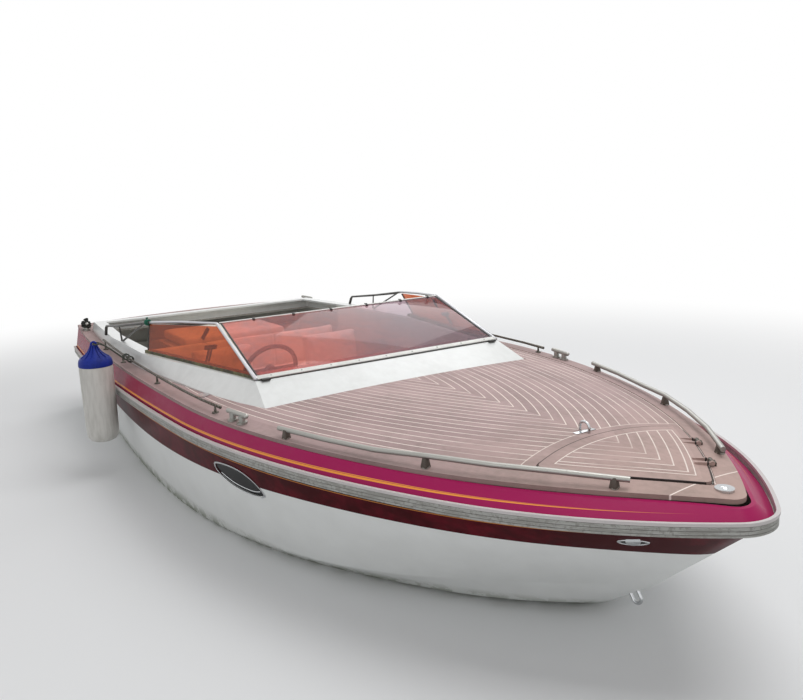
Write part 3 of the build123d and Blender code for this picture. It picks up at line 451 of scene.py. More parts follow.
def deck_inset(tree, point):
    """Distance in from the deck's edge, whose side arc runs into a tighter bow arc."""
    parts = parts_of(tree, point)
    along = sums(tree, "MULTIPLY", sums(tree, "SUBTRACT", parts["X"], SIDE_ARC[0][0]), math.cos(ARC_TURN))
    across = sums(tree, "SUBTRACT", sums(tree, "ABSOLUTE", parts["Y"]), SIDE_ARC[0][1])
    past = sums(tree, "GREATER_THAN", along, sums(tree, "MULTIPLY", across, math.sin(ARC_TURN)))
    side, bow = arc_inset(tree, point, *SIDE_ARC), arc_inset(tree, point, *BOW_ARC)
    return sums(tree, "MULTIPLY_ADD", sums(tree, "SUBTRACT", bow, side), past, side)


def teak_finish(name, lined):
    """Greyed teak with painted shade on the board's edges and along the hatch's gap; lined says where pale
    seams run: "board", "planks" or "hatch".
    """
    material, tree, surface, point = finish(name, TEAK_PINK, 0.7)
    inset = deck_inset(tree, point)
    hatch = sums(tree, "MINIMUM", arc_inset(tree, point, *HATCH_SIDE), arc_inset(tree, point, *HATCH_AFT))
    run = sums(tree, "DIVIDE", sums(tree, "SUBTRACT", inset, BOARD_WIDTH), PLANK)
    number = sums(tree, "FLOOR", run)
    parts = parts_of(tree, point)
    hand = sums(tree, "SIGN", parts["Y"])
    seed = sums(tree, "MULTIPLY_ADD", hand, 37.0, number)
    tone = wire(tree, "TexWhiteNoise", {"W": seed}, noise_dimensions="1D").outputs["Value"]
    if lined == "board":
        tone = 0.6
    angle = sums(tree, "MULTIPLY", hand, 0.33)
    along = wire(tree, "VectorRotate", {"Vector": point, "Axis": (0, 0, 1), "Angle": angle}).outputs[0]
    grain = cloud(tree, stretch(tree, along, 0.12, 1.0, 1.0), 150.0, 4.0)
    shade = sums(tree, "MULTIPLY_ADD", tone, 0.6, sums(tree, "MULTIPLY", grain, 0.5))
    colour = blend_colours(tree, shade, TEAK_PINK, TEAK_DARK)
    forward = sums(tree, "MULTIPLY", ramp(tree, parts["X"], 1.9, 3.0), 0.7)
    colour = blend_colours(tree, forward, colour, TEAK_WARM)
    stained = weather(tree, point, colour, GRIME, 0.3, 4.0)["Colour"]
    if lined == "board":
        # Painted shade: the board's side and under faces are darkened as if shaded under its overhang
        up = parts_of(tree, wire(tree, "NewGeometry").outputs["Normal"])["Z"]
        edge = sums(tree, "LESS_THAN", up, 0.6)
        colour = blend_colours(tree, sums(tree, "MULTIPLY", edge, 0.22), stained, SHADE_AND_STAIN)
        cross = sums(tree, "ABSOLUTE", sums(tree, "SUBTRACT", parts["X"], BOARD_SEAM))
        seam = sums(tree, "LESS_THAN", cross, SEAM / 2)
        paint(tree, surface, blend_colours(tree, seam, colour, CAULK))
        bump(tree, surface, grain, 0.0006)
        return material
    part = sums(tree, "FRACT", run)
    seam = stripe(tree, part, 1.0 - SEAM / PLANK, 1.2, 0.012)
    if lined == "hatch":
        field = stripe(tree, hatch, HATCH_MARGIN, 9.0)
        frame_line = stripe(tree, hatch, HATCH_MARGIN - SEAM, HATCH_MARGIN)
    else:
        margin = stripe(tree, hatch, -HATCH_MARGIN, 9.0)
        field = sums(tree, "SUBTRACT", 1.0, margin)
        frame_line = stripe(tree, hatch, -HATCH_MARGIN - SEAM, -HATCH_MARGIN)
        edge = stripe(tree, inset, BOARD_WIDTH - SEAM_OVERLAP, BOARD_WIDTH + SEAM)
        frame_line = sums(tree, "MAXIMUM", sums(tree, "MULTIPLY", frame_line, 0.7), edge)
    left = ramp(tree, cloud(tree, point, 2.6, 3.0), 0.36, 0.5, 0.35)
    seam = sums(tree, "MULTIPLY", seam, left)
    seams = sums(tree, "MAXIMUM", sums(tree, "MULTIPLY", seam, field), frame_line)
    # Painted shade: a dark line along the hatch's outline stands for the shade in its gap
    gap_shade = stripe(tree, hatch, -HATCH_GAP_SHADE, HATCH_GAP_SHADE, 0.0008)
    lined_wood = blend_colours(tree, seams, stained, CAULK)
    paint(tree, surface, blend_colours(tree, gap_shade, lined_wood, SHADE_AND_STAIN))
    bump(tree, surface, sums(tree, "MULTIPLY_ADD", grain, 0.4, sums(tree, "MULTIPLY", seams, -1.0)), 0.0008)
    return material


def metal_finish(name, colour, rough, pitting, aft=None):
    """Bright or dulled metal with brown-grey pitting; aft is where painted shade darkens it towards the
    stern.
    """
    material, tree, surface, point = finish(name, colour, rough, metal=1.0)
    pits = speckle(tree, point, 120.0, 0.04 + pitting * 0.22)
    share = sums(tree, "MULTIPLY", pits, pitting)
    # Painted shade: the metal darkens towards the stern from aft on
    if aft:
        dark = ramp(tree, parts_of(tree, point)["X"], aft + 0.03, aft - 0.03)
        colour = blend_colours(tree, dark, colour, METAL_SHADE)
    paint(tree, surface, blend_colours(tree, share, colour, PITTED))
    dull = sums(tree, "MULTIPLY_ADD", cloud(tree, point, 18.0, 4.0), 0.25, rough - 0.1)
    tree.links.new(sums(tree, "MULTIPLY_ADD", share, 0.4, dull), surface.inputs["Roughness"])
    return material


def acrylic(name, colour, haze_and_reflection, rough, port_reflection=0.0):
    """Tinted clear sheet with hazy patches, and a painted reflection that greys it to port."""
    material, tree, surface, point = finish(name, colour, rough, Transmission_Weight=0.86, IOR=1.0,
                                            Coat_Weight=0.5, Coat_Roughness=0.03)
    # Painted reflection: the sheet greys towards port as if reflecting the sky
    share = ramp(tree, parts_of(tree, point)["Y"], -0.45, 0.35, 0.0, port_reflection)
    base = blend_colours(tree, share, colour, haze_and_reflection)
    paint(tree, surface, weather(tree, point, base, haze_and_reflection, 0.5, 2.4, 0.8)["Colour"])
    return material


def shape(name):
    """Name the primitive just added and open it for shaping, with nothing selected."""
    piece = bpy.context.object
    piece.name = piece.data.name = name
    bpy.ops.object.mode_set(mode="EDIT")
    bpy.ops.mesh.select_all(action="DESELECT")
    return piece


def pick(piece, test):
    """Select the faces whose middle and normal pass a test."""
    bpy.ops.mesh.select_mode(type="FACE")
    bpy.ops.mesh.select_all(action="DESELECT")
    bpy.ops.object.mode_set(mode="OBJECT")
    for face in piece.data.polygons:
        face.select = test(face.center, face.normal)
    bpy.ops.object.mode_set(mode="EDIT")


def pick_all():
    bpy.ops.mesh.select_all(action="SELECT")


def pick_out(piece):
    """Make a piece the only one selected, and the active one."""
    bpy.ops.object.select_all(action="DESELECT")
    piece.select_set(True)
    bpy.context.view_layer.objects.active = piece


def open_again(piece):
    """Open a finished piece for more shaping."""
    pick_out(piece)
    bpy.ops.object.mode_set(mode="EDIT")
    return piece


def resize(x, y, z, centre=(0, 0, 0)):
    """Resize what is picked about a centre."""
    bpy.ops.transform.resize(value=(x, y, z), center_override=centre)


def shift(x, y, z):
    """Move what is picked."""
    bpy.ops.transform.translate(value=(x, y, z))


def link(name, data):
    """A new object in the scene."""
    made = bpy.data.objects.new(name, data)
    scene.collection.objects.link(made)
    return made


def apply(piece, kind, **settings):
    """Add a modifier and apply it."""
    bpy.context.view_layer.objects.active = piece
    modifier = piece.modifiers.new(kind.lower(), kind)
    for key, value in settings.items():
        setattr(modifier, key, value)
    bpy.ops.object.modifier_apply(modifier=modifier.name)


def seat(piece, matrix=None):
    """Leave edit mode and put the piece's place into its mesh, its object at the origin."""
    if bpy.context.mode != "OBJECT":
        bpy.ops.object.mode_set(mode="OBJECT")
    bpy.context.view_layer.update()
    piece.data.transform((matrix or Matrix()) @ piece.matrix_world)
    piece.matrix_world = Matrix()
    return piece


def dress(piece, look, smooth=35, body="hull"):
    """Give a finished piece its material, its shading and the body it moves with."""
    piece.data.materials.clear()
    piece.data.materials.append(MATERIALS[look])
    if smooth and piece.type == "MESH":
        pick_out(piece)
        bpy.ops.object.shade_smooth_by_angle(angle=math.radians(smooth))
    bpy.ops.object.select_all(action="DESELECT")
    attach(piece, body)
    return piece


def merge(name, pieces):
    """Join finished pieces into one."""
    bpy.ops.object.select_all(action="DESELECT")
    for piece in pieces:
        piece.select_set(True)
    bpy.context.view_layer.objects.active = pieces[0]
    if len(pieces) > 1:
        bpy.ops.object.join()
    pieces[0].name = pieces[0].data.name = name
    bpy.ops.object.select_all(action="DESELECT")
    return pieces[0]


def place_copies(name, pattern, matrices):
    """One copy of a pattern at each matrix, joined; the pattern is removed."""
    copies = []
    for matrix in matrices:
        copy = pattern.copy()
        copy.data = pattern.data.copy()
        copy.data.transform(matrix)
        scene.collection.objects.link(copy)
        copies.append(copy)
    bpy.data.objects.remove(pattern)
    return merge(name, copies)


def facing(place, normal, spin=0.0):
    """Matrix that stands a pattern's Z along a normal at a place."""
    turn = Vector(normal).to_track_quat("Z", "Y").to_matrix().to_4x4()
    return Matrix.Translation(place) @ turn @ Matrix.Rotation(spin, 4, "Z")


def land(node, start, direction):
    """Where a ray meets a CAD node, with the surface's normal."""
    hit, place, normal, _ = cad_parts[node].ray_cast(Vector(start), Vector(direction).normalized())
    if not hit:
        raise ValueError(f"nothing of {node} lies along the ray from {start}")
    return place, normal


def plumb(node, x, y):
    """Where a line straight down meets a CAD node."""
    return land(node, (x, y, ABOVE_DECK), (0, 0, -1))[0]


def route(name, points):
    """A smooth curve with the points as its control points."""
    curve = bpy.data.curves.new(name, "CURVE")
    curve.dimensions = "3D"
    spline = curve.splines.new("NURBS")
    spline.points.add(len(points) - 1)
    for point, place in zip(spline.points, points):
        point.co = (*place, 1.0)
    spline.order_u = 3
    spline.use_endpoint_u = True
    curve.resolution_u = 12
    return link(name, curve)


def thick(line, radius):
    """Give a curve a round section and closed ends."""
    line.data.bevel_depth, line.data.bevel_resolution = radius, 2
    line.data.use_fill_caps = True
    return line


def route_points(points):
    """The places along a route's own curve."""
    line = route("route", points)
    mesh = bpy.data.meshes.new_from_object(line)
    places = [v.co.copy() for v in mesh.vertices]
    bpy.data.meshes.remove(mesh)
    bpy.data.objects.remove(line)
    return places


def length_of(places):
    return sum((b - a).length for a, b in zip(places, places[1:]))


def laid_rope(name, points, diameter):
    """Three strands twisted round a route; gives the mesh and the line it follows."""
    places = route_points(points)
    total, strands = length_of(places), []
    steps = max(24, int(total / (diameter * ROPE_LAY) * 10))
    even = []
    for i in range(steps + 1):
        want, run = total * i / steps, 0.0
        for a, b in zip(places, places[1:]):
            span = (b - a).length
            if run + span >= want - 1e-9:
                even.append(a.lerp(b, (want - run) / span if span else 0.0))
                break
            run += span
    side = (even[1] - even[0]).orthogonal().normalized()
    frames = []
    for i, place in enumerate(even):
        ahead = (even[min(i + 1, steps)] - even[max(i - 1, 0)]).normalized()
        side = (side - ahead * side.dot(ahead)).normalized()
        frames.append((place, side.copy(), ahead.cross(side)))
    for strand in range(3):
        curve = bpy.data.curves.new("strand", "CURVE")
        curve.dimensions, curve.bevel_depth, curve.bevel_resolution = "3D", diameter * STRAND_RADIUS, 1
        curve.use_fill_caps = True
        spline = curve.splines.new("POLY")
        spline.points.add(steps)
        for i, (place, out, across) in enumerate(frames):
            angle = math.tau * (i / steps * total / (diameter * ROPE_LAY) + strand / 3)
            offset = (out * math.cos(angle) + across * math.sin(angle)) * diameter * STRAND_OUT
            spline.points[i].co = (*(place + offset), 1.0)
        strands.append(as_mesh(link("strand", curve), "strand"))
    return merge(name, strands), even, total


def as_mesh(line, name):
    """A curve object made into a mesh piece."""
    piece = link(name, bpy.data.meshes.new_from_object(line))
    bpy.data.objects.remove(line)
    return piece


def copy_node(node, name):
    """A CAD node's mesh as a new piece, its loose triangles merged."""
    piece = link(name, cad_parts[node].data.copy())
    piece.data.materials.clear()
    bpy.context.view_layer.objects.active = piece
    bpy.ops.object.mode_set(mode="EDIT")
    pick_all()
    bpy.ops.mesh.remove_doubles(threshold=0.00005)
    bpy.ops.object.mode_set(mode="OBJECT")
    return piece


def stuffed(node, name, inset, voxel, reach, foot=None, channels=(), body="hull", look="vinyl"):
    """A cushion swelled by cloth pressure from the CAD solid, pulled in a little first.

    foot is the height of its flat underside: nothing of the cushion goes below it.
    channels are sewn lines, each an axis, a place on it, and the line's depth and width.
    """
    pad = copy_node(node, name)
    before = [v.co.copy() for v in pad.data.vertices]
    low = Vector(min(v[i] for v in before) for i in range(3))
    high = Vector(max(v[i] for v in before) for i in range(3))
    bpy.ops.object.mode_set(mode="EDIT")
    pick_all()
    bpy.ops.transform.shrink_fatten(value=-inset)
    bpy.ops.object.mode_set(mode="OBJECT")
    apply(pad, "REMESH", mode="VOXEL", voxel_size=voxel, use_smooth_shade=True)
    apply(pad, "SMOOTH", factor=0.5, iterations=3)
    start = [v.co.copy() for v in pad.data.vertices]
    cloth = pad.modifiers.new("swell", "CLOTH")
    cloth.settings.quality = 5
    cloth.settings.mass = 0.3
    cloth.settings.use_pressure = True
    cloth.settings.uniform_pressure_force = PRESSURE
    cloth.settings.effector_weights.gravity = 0
    cloth.point_cache.frame_start, cloth.point_cache.frame_end = 1, SWELL_FRAMES
    for moment in range(1, SWELL_FRAMES + 1):
        scene.frame_set(moment)
    evaluated = pad.evaluated_get(bpy.context.evaluated_depsgraph_get())
    swollen = [v.co.copy() for v in evaluated.data.vertices]
    pad.modifiers.clear()
    for vertex, a, b in zip(pad.data.vertices, start, swollen):
        push = b - a
        vertex.co = a + push * min(1.0, reach / max(push.length, 1e-9))
    scene.frame_set(1)
    apply(pad, "SUBSURF", levels=1, render_levels=1)
    normals = [v.normal.copy() for v in pad.data.vertices]
    for vertex, normal in zip(pad.data.vertices, normals):
        for axis, place, depth, width in channels:
            away = (getattr(vertex.co, axis) - place) / width
            if abs(away) < 3:
                vertex.co -= normal * depth * math.exp(-away * away)
        if foot is not None:
            vertex.co.z = max(vertex.co.z, foot)
        for i in range(3):
            vertex.co[i] = min(max(vertex.co[i], low[i]), high[i])
    dress(pad, look, 0, body)
    for face in pad.data.polygons:
        face.use_smooth = True
    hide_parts(node)
    return pad


def turned(name, place, profile, sides=40):
    """A solid turned about a vertical line: rings of (radius, height) from the foot up."""
    (radius, height), steps = profile[0], profile[1:]
    centre = Vector(place)
    bpy.ops.mesh.primitive_circle_add(vertices=sides, radius=radius, fill_type="NGON",
                                      location=centre + Vector((0, 0, height)))
    piece = shape(name)
    pick_all()
    for wider, higher in steps:
        bpy.ops.mesh.extrude_region_move(TRANSFORM_OT_translate={"value": (0, 0, higher - height)})
        resize(wider / radius, wider / radius, 1, centre + Vector((0, 0, higher)))
        radius, height = wider, higher
    pick_all()
    bpy.ops.mesh.normals_make_consistent(inside=False)
    return seat(piece)


def side_number(x, y):
    """Which of the fender cap's sides faces a direction in plan."""
    return int(CAP_SIDES * (math.atan2(y, x) / math.tau + 1))


def make_fender():
    """White inflated fender with a fluted blue cap and eye, hung outside the starboard quarter."""
    x, y = FENDER_AT
    body = turned("fender_body", (x, y, 0), [
        (0.028, 0.249), (0.060, 0.251), (0.080, 0.261), (0.093, 0.281), (0.0985, 0.312), (0.1, 0.35),
        (0.1025, 0.60), (0.103, 0.72), (0.1025, 0.744)])
    dress(body, "fender white", 50)
    cap = turned("fender_cap", (x, y, 0), [
        (0.103, 0.742), (0.1045, 0.746), (0.104, 0.765), (0.099, 0.784), (0.086, 0.799), (0.066, 0.813),
        (0.049, 0.828), (0.037, 0.844), (0.029, 0.859), (0.024, 0.874)], CAP_SIDES)
    pick(open_again(cap), lambda middle, normal: middle.z > 0.80 and abs(normal.z) < 0.97
         and side_number(middle.x - x, middle.y - y) % FLUTE_SIDES < SUNK_SIDES)
    bpy.ops.mesh.inset(thickness=0.0009)
    bpy.ops.transform.shrink_fatten(value=-0.0045)
    seat(cap)
    bpy.ops.mesh.primitive_torus_add(major_radius=0.0155, minor_radius=0.0068, major_segments=28,
                                     minor_segments=12, location=(x, y, 0.8785), rotation=(0, math.pi / 2, 0))
    eye = shape("fender_eye")
    pick(eye, lambda middle, normal: middle.x > 0.0125)
    shift(0.003, 0, 0)
    seat(eye)
    cap = merge("fender_cap", [cap, eye])
    dress(cap, "fender blue", 50)
    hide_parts("fender")
    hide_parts("fender")


def slimmed(node, name, start, amount, look):
    """A CAD node's tubes drawn thinner from a height up."""
    piece = open_again(copy_node(node, name))
    bpy.ops.mesh.select_mode(type="VERT")
    bpy.ops.mesh.select_all(action="DESELECT")
    bpy.ops.object.mode_set(mode="OBJECT")
    for vertex in piece.data.vertices:
        vertex.select = vertex.co.z > start
    bpy.ops.object.mode_set(mode="EDIT")
    bpy.ops.transform.shrink_fatten(value=-amount)
    seat(piece)
    dress(piece, look, 40)
    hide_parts(node)


def make_rail_brackets():
    """Tapered bronze brackets between the covering board and the low bow rails."""
    brackets = []
    for x in BRACKET_X:
        for hand in (-1, 1):
            place = plumb("covering_board", x, hand * bow_rail_y(x))
            bpy.ops.mesh.primitive_cube_add(size=1, scale=(0.030, 0.034, 0.040), location=(0, 0, 0.020))
            bracket = shape("bracket")
            pick(bracket, lambda middle, normal: normal.z > 0.9)
            resize(0.62, 0.62, 1, (0, 0, 0.04))
            pick_all()
            bpy.ops.mesh.bevel(offset=0.003, segments=2, affect="EDGES")
            turn = Matrix.Rotation(-hand * math.radians(14), 4, "Z")
            brackets.append(seat(bracket, Matrix.Translation(place) @ turn))
    dress(merge("rail_brackets", brackets), "bronze", 35)


def disc(name, sides, radius, height):
    """A flat round face at a height, picked and open for shaping."""
    bpy.ops.mesh.primitive_circle_add(vertices=sides, radius=radius, fill_type="NGON",
                                      location=(0, 0, height))
    piece = shape(name)
    pick(piece, lambda middle, normal: True)
    return piece


def make_sidelight_trim():
    """Oval bezel round each side light with a black disc in it as painted shade of its recess, and the foot
    plate under the deck eye.
    """
    rings, wells = [], []
    for hand in (-1, 1):
        start, way = ((x, hand * y, z) for x, y, z in (SIDELIGHT_FROM, SIDELIGHT_WAY))
        sit = facing(*land("hull", start, way))
        bpy.ops.mesh.primitive_torus_add(major_radius=0.030, minor_radius=0.0035, major_segments=48,
                                         minor_segments=10)
        ring = shape("ring")
        pick_all()
        resize(*SIDELIGHT_OVAL)
        rings.append(seat(ring, sit))
        # Painted shade: a black disc lies in each bezel as the shade of its recess
        well = disc("well", 48, 0.030, 0.0008)
        resize(*SIDELIGHT_OVAL)
        bpy.ops.mesh.inset(thickness=0.004)
        wells.append(seat(well, sit))
    dress(merge("sidelight_bezels", rings), "chrome", 40)
    dress(merge("sidelight_well_shades", wells), "black", 30)
    plate = slab("plate", (0, 0, 0.0015), (0.026, 0.110, 0.003), 0.001)
    plate.data.transform(Matrix.Translation(plumb("deck_planks", DECK_EYE_X, 0.0)))
    dress(plate, "chrome", 40)


def bow_rail_y(x):
    """Half breadth of the low bow rail at x."""
    (side_x, side_y), side_r = SIDE_ARC
    (bow_x, bow_y), bow_r = BOW_ARC
    if x < side_x + side_r * math.sin(ARC_TURN):
        return side_y + math.sqrt((side_r - BOW_RAIL_INSET) ** 2 - (x - side_x) ** 2)
    return bow_y + math.sqrt((bow_r - BOW_RAIL_INSET) ** 2 - (x - bow_x) ** 2)


def make_portlight_trim():
    """Bright bead inside each portlight and a white lip outside its lower edge."""
    beads, lips = [], []
    for hand in (-1, 1):
        inward = Vector((0, -hand, 0))
        for (rise, off, radius), made in ((BEAD, beads), (LIP, lips)):
            places = []
            for x, z in PORTLIGHT_LINE:
                start = Vector((x, hand * OUTSIDE, z + rise))
                hit, place, normal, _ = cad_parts["hull"].ray_cast(start, inward)
                if not hit or abs(place.y) < 0.7:
                    place, normal = land("portlight_glass", start, inward)
                places.append(place + normal * off)
            made.append(as_mesh(thick(route("bead", places), radius), "bead"))
    dress(merge("portlight_beads", beads), "chrome", 50)
    dress(merge("portlight_lips", lips), "white", 50)


def make_rope_hank():
    """Dark mooring rope made fast round the starboard stern cleat, its rest laid up in turns."""
    x, y, z = STERN_CLEAT
    points = []
    for turn in range(HANK_TURNS):
        level = z + HANK_FOOT + HANK_RISE * turn
        out = 0.060 + 0.006 * (turn % 3)
        side = 0.026 + 0.005 * ((turn + 1) % 3)
        for k in range(HANK_POINTS):
            share = k / HANK_POINTS
            angle = math.tau * share
            points.append((x + out * math.cos(angle), y + side * math.sin(angle), level + HANK_RISE * share))
    points += [(x + ahead, y + aside, z + HANK_TOP + above) for ahead, aside, above in HANK_OVER]
    rope, line, total = laid_rope("stern_rope", points, STERN_ROPE_D)
    dress(rope, "dark rope", 60)


def wound(centre, along, radius, turns, step, start, lead):
    """Control points of turns round a bar, lead of them to a turn, from a start angle."""
    axis = Vector(along).normalized()
    up = axis.orthogonal().normalized()
    side = axis.cross(up)
    points = []
    for i in range(int(turns * lead) + 1):
        angle = start + math.tau * i / lead
        points.append(Vector(centre) + axis * (step * i / lead)
                      + (up * math.cos(angle) + side * math.sin(angle)) * radius)
    return points


def make_lanyard():
    """The fender's lanyard: turns on the side rail, through the eye and back."""
    swing = math.tau / 14
    first = wound((LANYARD_LINE[0][0] - 0.026, RAIL_Y, RAIL_Z), (1, 0, 0), *LANYARD_TURNS, swing, 14)
    last = wound((LANYARD_LINE[-1][0], RAIL_Y, RAIL_Z), (1, 0, 0), *LANYARD_TURNS, swing + math.pi, 14)
    points = first + list(LANYARD_LINE[1:-1]) + last
    rope, line, total = laid_rope("lanyard_rope", points, LANYARD_D)
    dress(rope, "rope", 60)
    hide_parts("fender_line")


def make_twine():
    """Green lashing round the tube behind the side window, its end hanging."""
    x, y, z = TWINE_AT
    turns = wound((x + 0.020, y, z + 0.001), (-1, -0.19, -0.10), 0.0138, 6.5, 0.0062, 0.6, 12)
    back = wound((x - 0.014, y - 0.007, z - 0.003), (1, 0.19, 0.10), 0.0185, 3.25, 0.0095, 0.2, 12)
    end = back[-1]
    knot = end + Vector((0.030, -0.006, 0.026))
    points = turns + back + [end + Vector((0.008, -0.004, 0.016))]
    points += [knot + Vector(step) for step in TWINE_KNOT]
    line = thick(route("green_twine", points), TWINE_D / 2)
    dress(line, "twine")
    total = length_of(route_points(points))


def screw(radius):
    """A dome-headed screw with a slot, its seat at the origin."""
    bpy.ops.mesh.primitive_cylinder_add(vertices=12, radius=radius, depth=radius * 0.5,
                                        location=(0, 0, radius * 0.2))
    head = shape("screw")
    pick(head, lambda middle, normal: normal.z > 0.9)
    bpy.ops.mesh.inset(thickness=radius * 0.35)
    shift(0, 0, radius * 0.16)
    bpy.ops.mesh.inset(thickness=radius * 0.35)
    resize(1.6, 0.25, 1)
    shift(0, 0, -radius * 0.16)
    return seat(head)


def gauge(radius, sit):
    """A round instrument's bezel with its sunk middle, seated by a matrix."""
    bpy.ops.mesh.primitive_cylinder_add(vertices=32, radius=radius, depth=0.012, location=(0, 0, 0.004))
    dial = shape("gauge")
    pick(dial, lambda middle, normal: normal.z > 0.9)
    bpy.ops.mesh.inset(thickness=radius * 0.16)
    bpy.ops.mesh.extrude_region_move(TRANSFORM_OT_translate={"value": (0, 0, -0.004)})
    return seat(dial, sit)


def make_instruments():
    """Four round gauges on the helm's slope."""
    slope = Vector(DASH_SLOPE)
    dials, faces = [], []
    for y, radius in GAUGES:
        start = Vector((DASH_POINT[0], y, DASH_POINT[1])) + slope * 0.2
        sit = facing(*land("dash", start, -slope))
        dials.append(gauge(radius, sit))
        face = disc("face", 32, radius * 0.82, 0.0065)
        bpy.ops.mesh.inset(thickness=radius * 0.1)
        shift(0, 0, 0.0006)
        faces.append(seat(face, sit))
    dress(merge("gauge_bezels", dials), "chrome", 30)
    dress(merge("gauge_faces", faces), "black", 30)


def slab(name, centre, size, bevel, turn=Matrix(), segments=2):
    """A box with rounded edges, its axes turned by a matrix."""
    bpy.ops.mesh.primitive_cube_add(size=1, scale=size)
    piece = shape(name)
    pick_all()
    bpy.ops.mesh.bevel(offset=bevel, segments=segments, affect="EDGES")
    return seat(piece, Matrix.Translation(centre) @ turn)


def screen_frame_of_reference():
    """Matrix of the front screen, X to port, Y up its slope, Z out of its face; and how high its slope is."""
    foot, head = Vector(SCREEN_FOOT), Vector(SCREEN_HEAD)
    up = (head - foot).normalized()
    out = Vector((0, 1, 0)).cross(up)
    turn = Matrix((Vector((0, 1, 0)), up, out)).transposed().to_4x4()
    return Matrix.Translation(foot) @ turn, (head - foot).length


def on_screen(name, low, high, rise, bevel, inset=0.0):
    """A piece lying on the screen between two heights up its slope, its ends following the sides.

    rise is where it starts and ends out of the screen's face; inset is how far in its ends stop.
    """
    place, length = screen_frame_of_reference()
    half_foot, half_head = (half - inset for half in SCREEN_HALVES)
    bpy.ops.mesh.primitive_cube_add(size=1)
    piece = shape(name)
    for side, height in ((-1, low), (1, high)):
        half = half_foot + (half_head - half_foot) * height / length
        pick(piece, lambda middle, normal: normal.y * side > 0.9)
        resize(2 * half, 1, 1)
        shift(0, height - side * 0.5, 0)
    pick_all()
    resize(1, 1, rise[1] - rise[0])
    shift(0, 0, (rise[0] + rise[1]) / 2)
    bpy.ops.mesh.bevel(offset=bevel, segments=2, affect="EDGES")
    return seat(piece, place)


def make_front_screen():
    """Tinted pane with its white foot strip, thin head strip and dark side seals."""
    half_foot, half_head = SCREEN_HALVES
    place, length = screen_frame_of_reference()
    pane = on_screen("screen_pane", 0.006, length - 0.004, (0.003, 0.0075), 0.0006, inset=0.006)
    dress(pane, "pink", 30)
    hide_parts("screen_glass")
    strip = on_screen("screen_foot_strip", 0.001, 0.034, (0.0078, 0.0118), 0.0008)
    under = on_screen("screen_foot_bar", 0.001, 0.030, (0.0002, 0.0028), 0.0006)
    head = on_screen("screen_head_strip", length - 0.011, length - 0.001, (0.0005, 0.0095), 0.0006)
    strips = merge("screen_strips", [strip, under, head])
    dress(strips, "strip", 30)
    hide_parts("screen_frame")
    seals = []
    for hand in (-1, 1):
        seal = slab("seal", (0, 0, 0.005), (0.008, length - 0.012, 0.0085), 0.0015)
        lean = math.atan2(half_foot - half_head, length) * hand
        middle = (hand * ((half_foot + half_head) / 2 - 0.010), length / 2, 0)
        seal.data.transform(place @ Matrix.Translation(middle) @ Matrix.Rotation(lean, 4, "Z"))
        seals.append(seal)
    foot = on_screen("foot_seal", -0.002, 0.0008, (0.0004, 0.0048), 0.0004)
    dress(merge("screen_seals", seals + [foot]), "black", 30)
    heads = place_copies("screen_screws", screw(0.0048), [
        place @ Matrix.Translation((y, 0.018, 0.0118)) @ Matrix.Rotation(y * 9, 4, "Z")
        for y in SCREW_Y])
    dress(heads, "steel", 30)
    clips = []
    for y in CLIP_Y:
        jaw = slab("clip", (y, length - 0.007, 0.0052), (0.016, 0.022, 0.014), 0.002)
        stem = slab("clip", (y, length + 0.006, 0.004), (0.007, 0.020, 0.005), 0.0015)
        clips += [jaw, stem]
    clips = merge("screen_clips", clips)
    clips.data.transform(place)
    dress(clips, "black", 30)
    pads = [slab("pad", (0.707, hand * 0.762, 0.8265), (0.030, 0.050, 0.012), 0.004, segments=3)
            for hand in (-1, 1)]
    dress(merge("screen_corner_pads", pads), "black", 40)


def on_wall(place, normal):
    """Matrix at a place on a wall: X forward along it, Z up its slope."""
    fore = (Vector((1, 0, 0)) - normal * normal.x).normalized()
    up = fore.cross(normal)
    up = up if up.z > 0 else -up
    turn = Matrix((fore, up.cross(fore), up)).transposed().to_4x4()
    return Matrix.Translation(place) @ turn


def make_window_gear():
    """Dark aft edge seals, catches and straps on the inner face of each side window."""
    catches, seals = [], []
    for hand in (-1, 1):
        foot, head = (Vector((x, hand * y, z)) for x, y, z in WINDOW_SEAL)
        rise = head - foot
        turn = rise.to_track_quat("Z", "Y").to_matrix().to_4x4()
        seals.append(slab("seal", (foot + head) / 2, (0.011, 0.010, rise.length), 0.0025, turn))
        place, normal = land("side_windows", STRAP_AT, (0, hand, 0))
        strap = slab("strap", (0, 0, 0), (0.034, 0.007, 0.075), 0.002,
                     Matrix.Rotation(math.radians(10), 4, "Y"))
        strap.data.transform(on_wall(place + normal * 0.004, normal))
        catches.append(strap)
        place, normal = land("side_windows", CATCH_AT, (0, hand, 0))
        bar = slab("bar", (0, 0, 0), (0.110, 0.016, 0.026), 0.004, segments=3)
        legs = [slab("leg", (x, 0, -0.046), (0.013, 0.009, 0.082), 0.003) for x in (-0.012, 0.014)]
        catch = merge("catch", [bar, *legs])
        catch.data.transform(on_wall(place + normal * 0.0085, normal)
                             @ Matrix.Rotation(math.radians(-16), 4, "Y"))
        catches.append(catch)
    dress(merge("window_seals", seals), "black", 40)
    dress(merge("window_catches", catches), "black", 40)


# Outline of the hatch: its side arc and its aft arc
HATCH_SIDE = through_three((2.4, 0.421), (2.6532, 0.2255), (2.88, 0.0))
HATCH_AFT = through_three((2.4, 0.421), (2.32, 0.0), (2.4, -0.421))

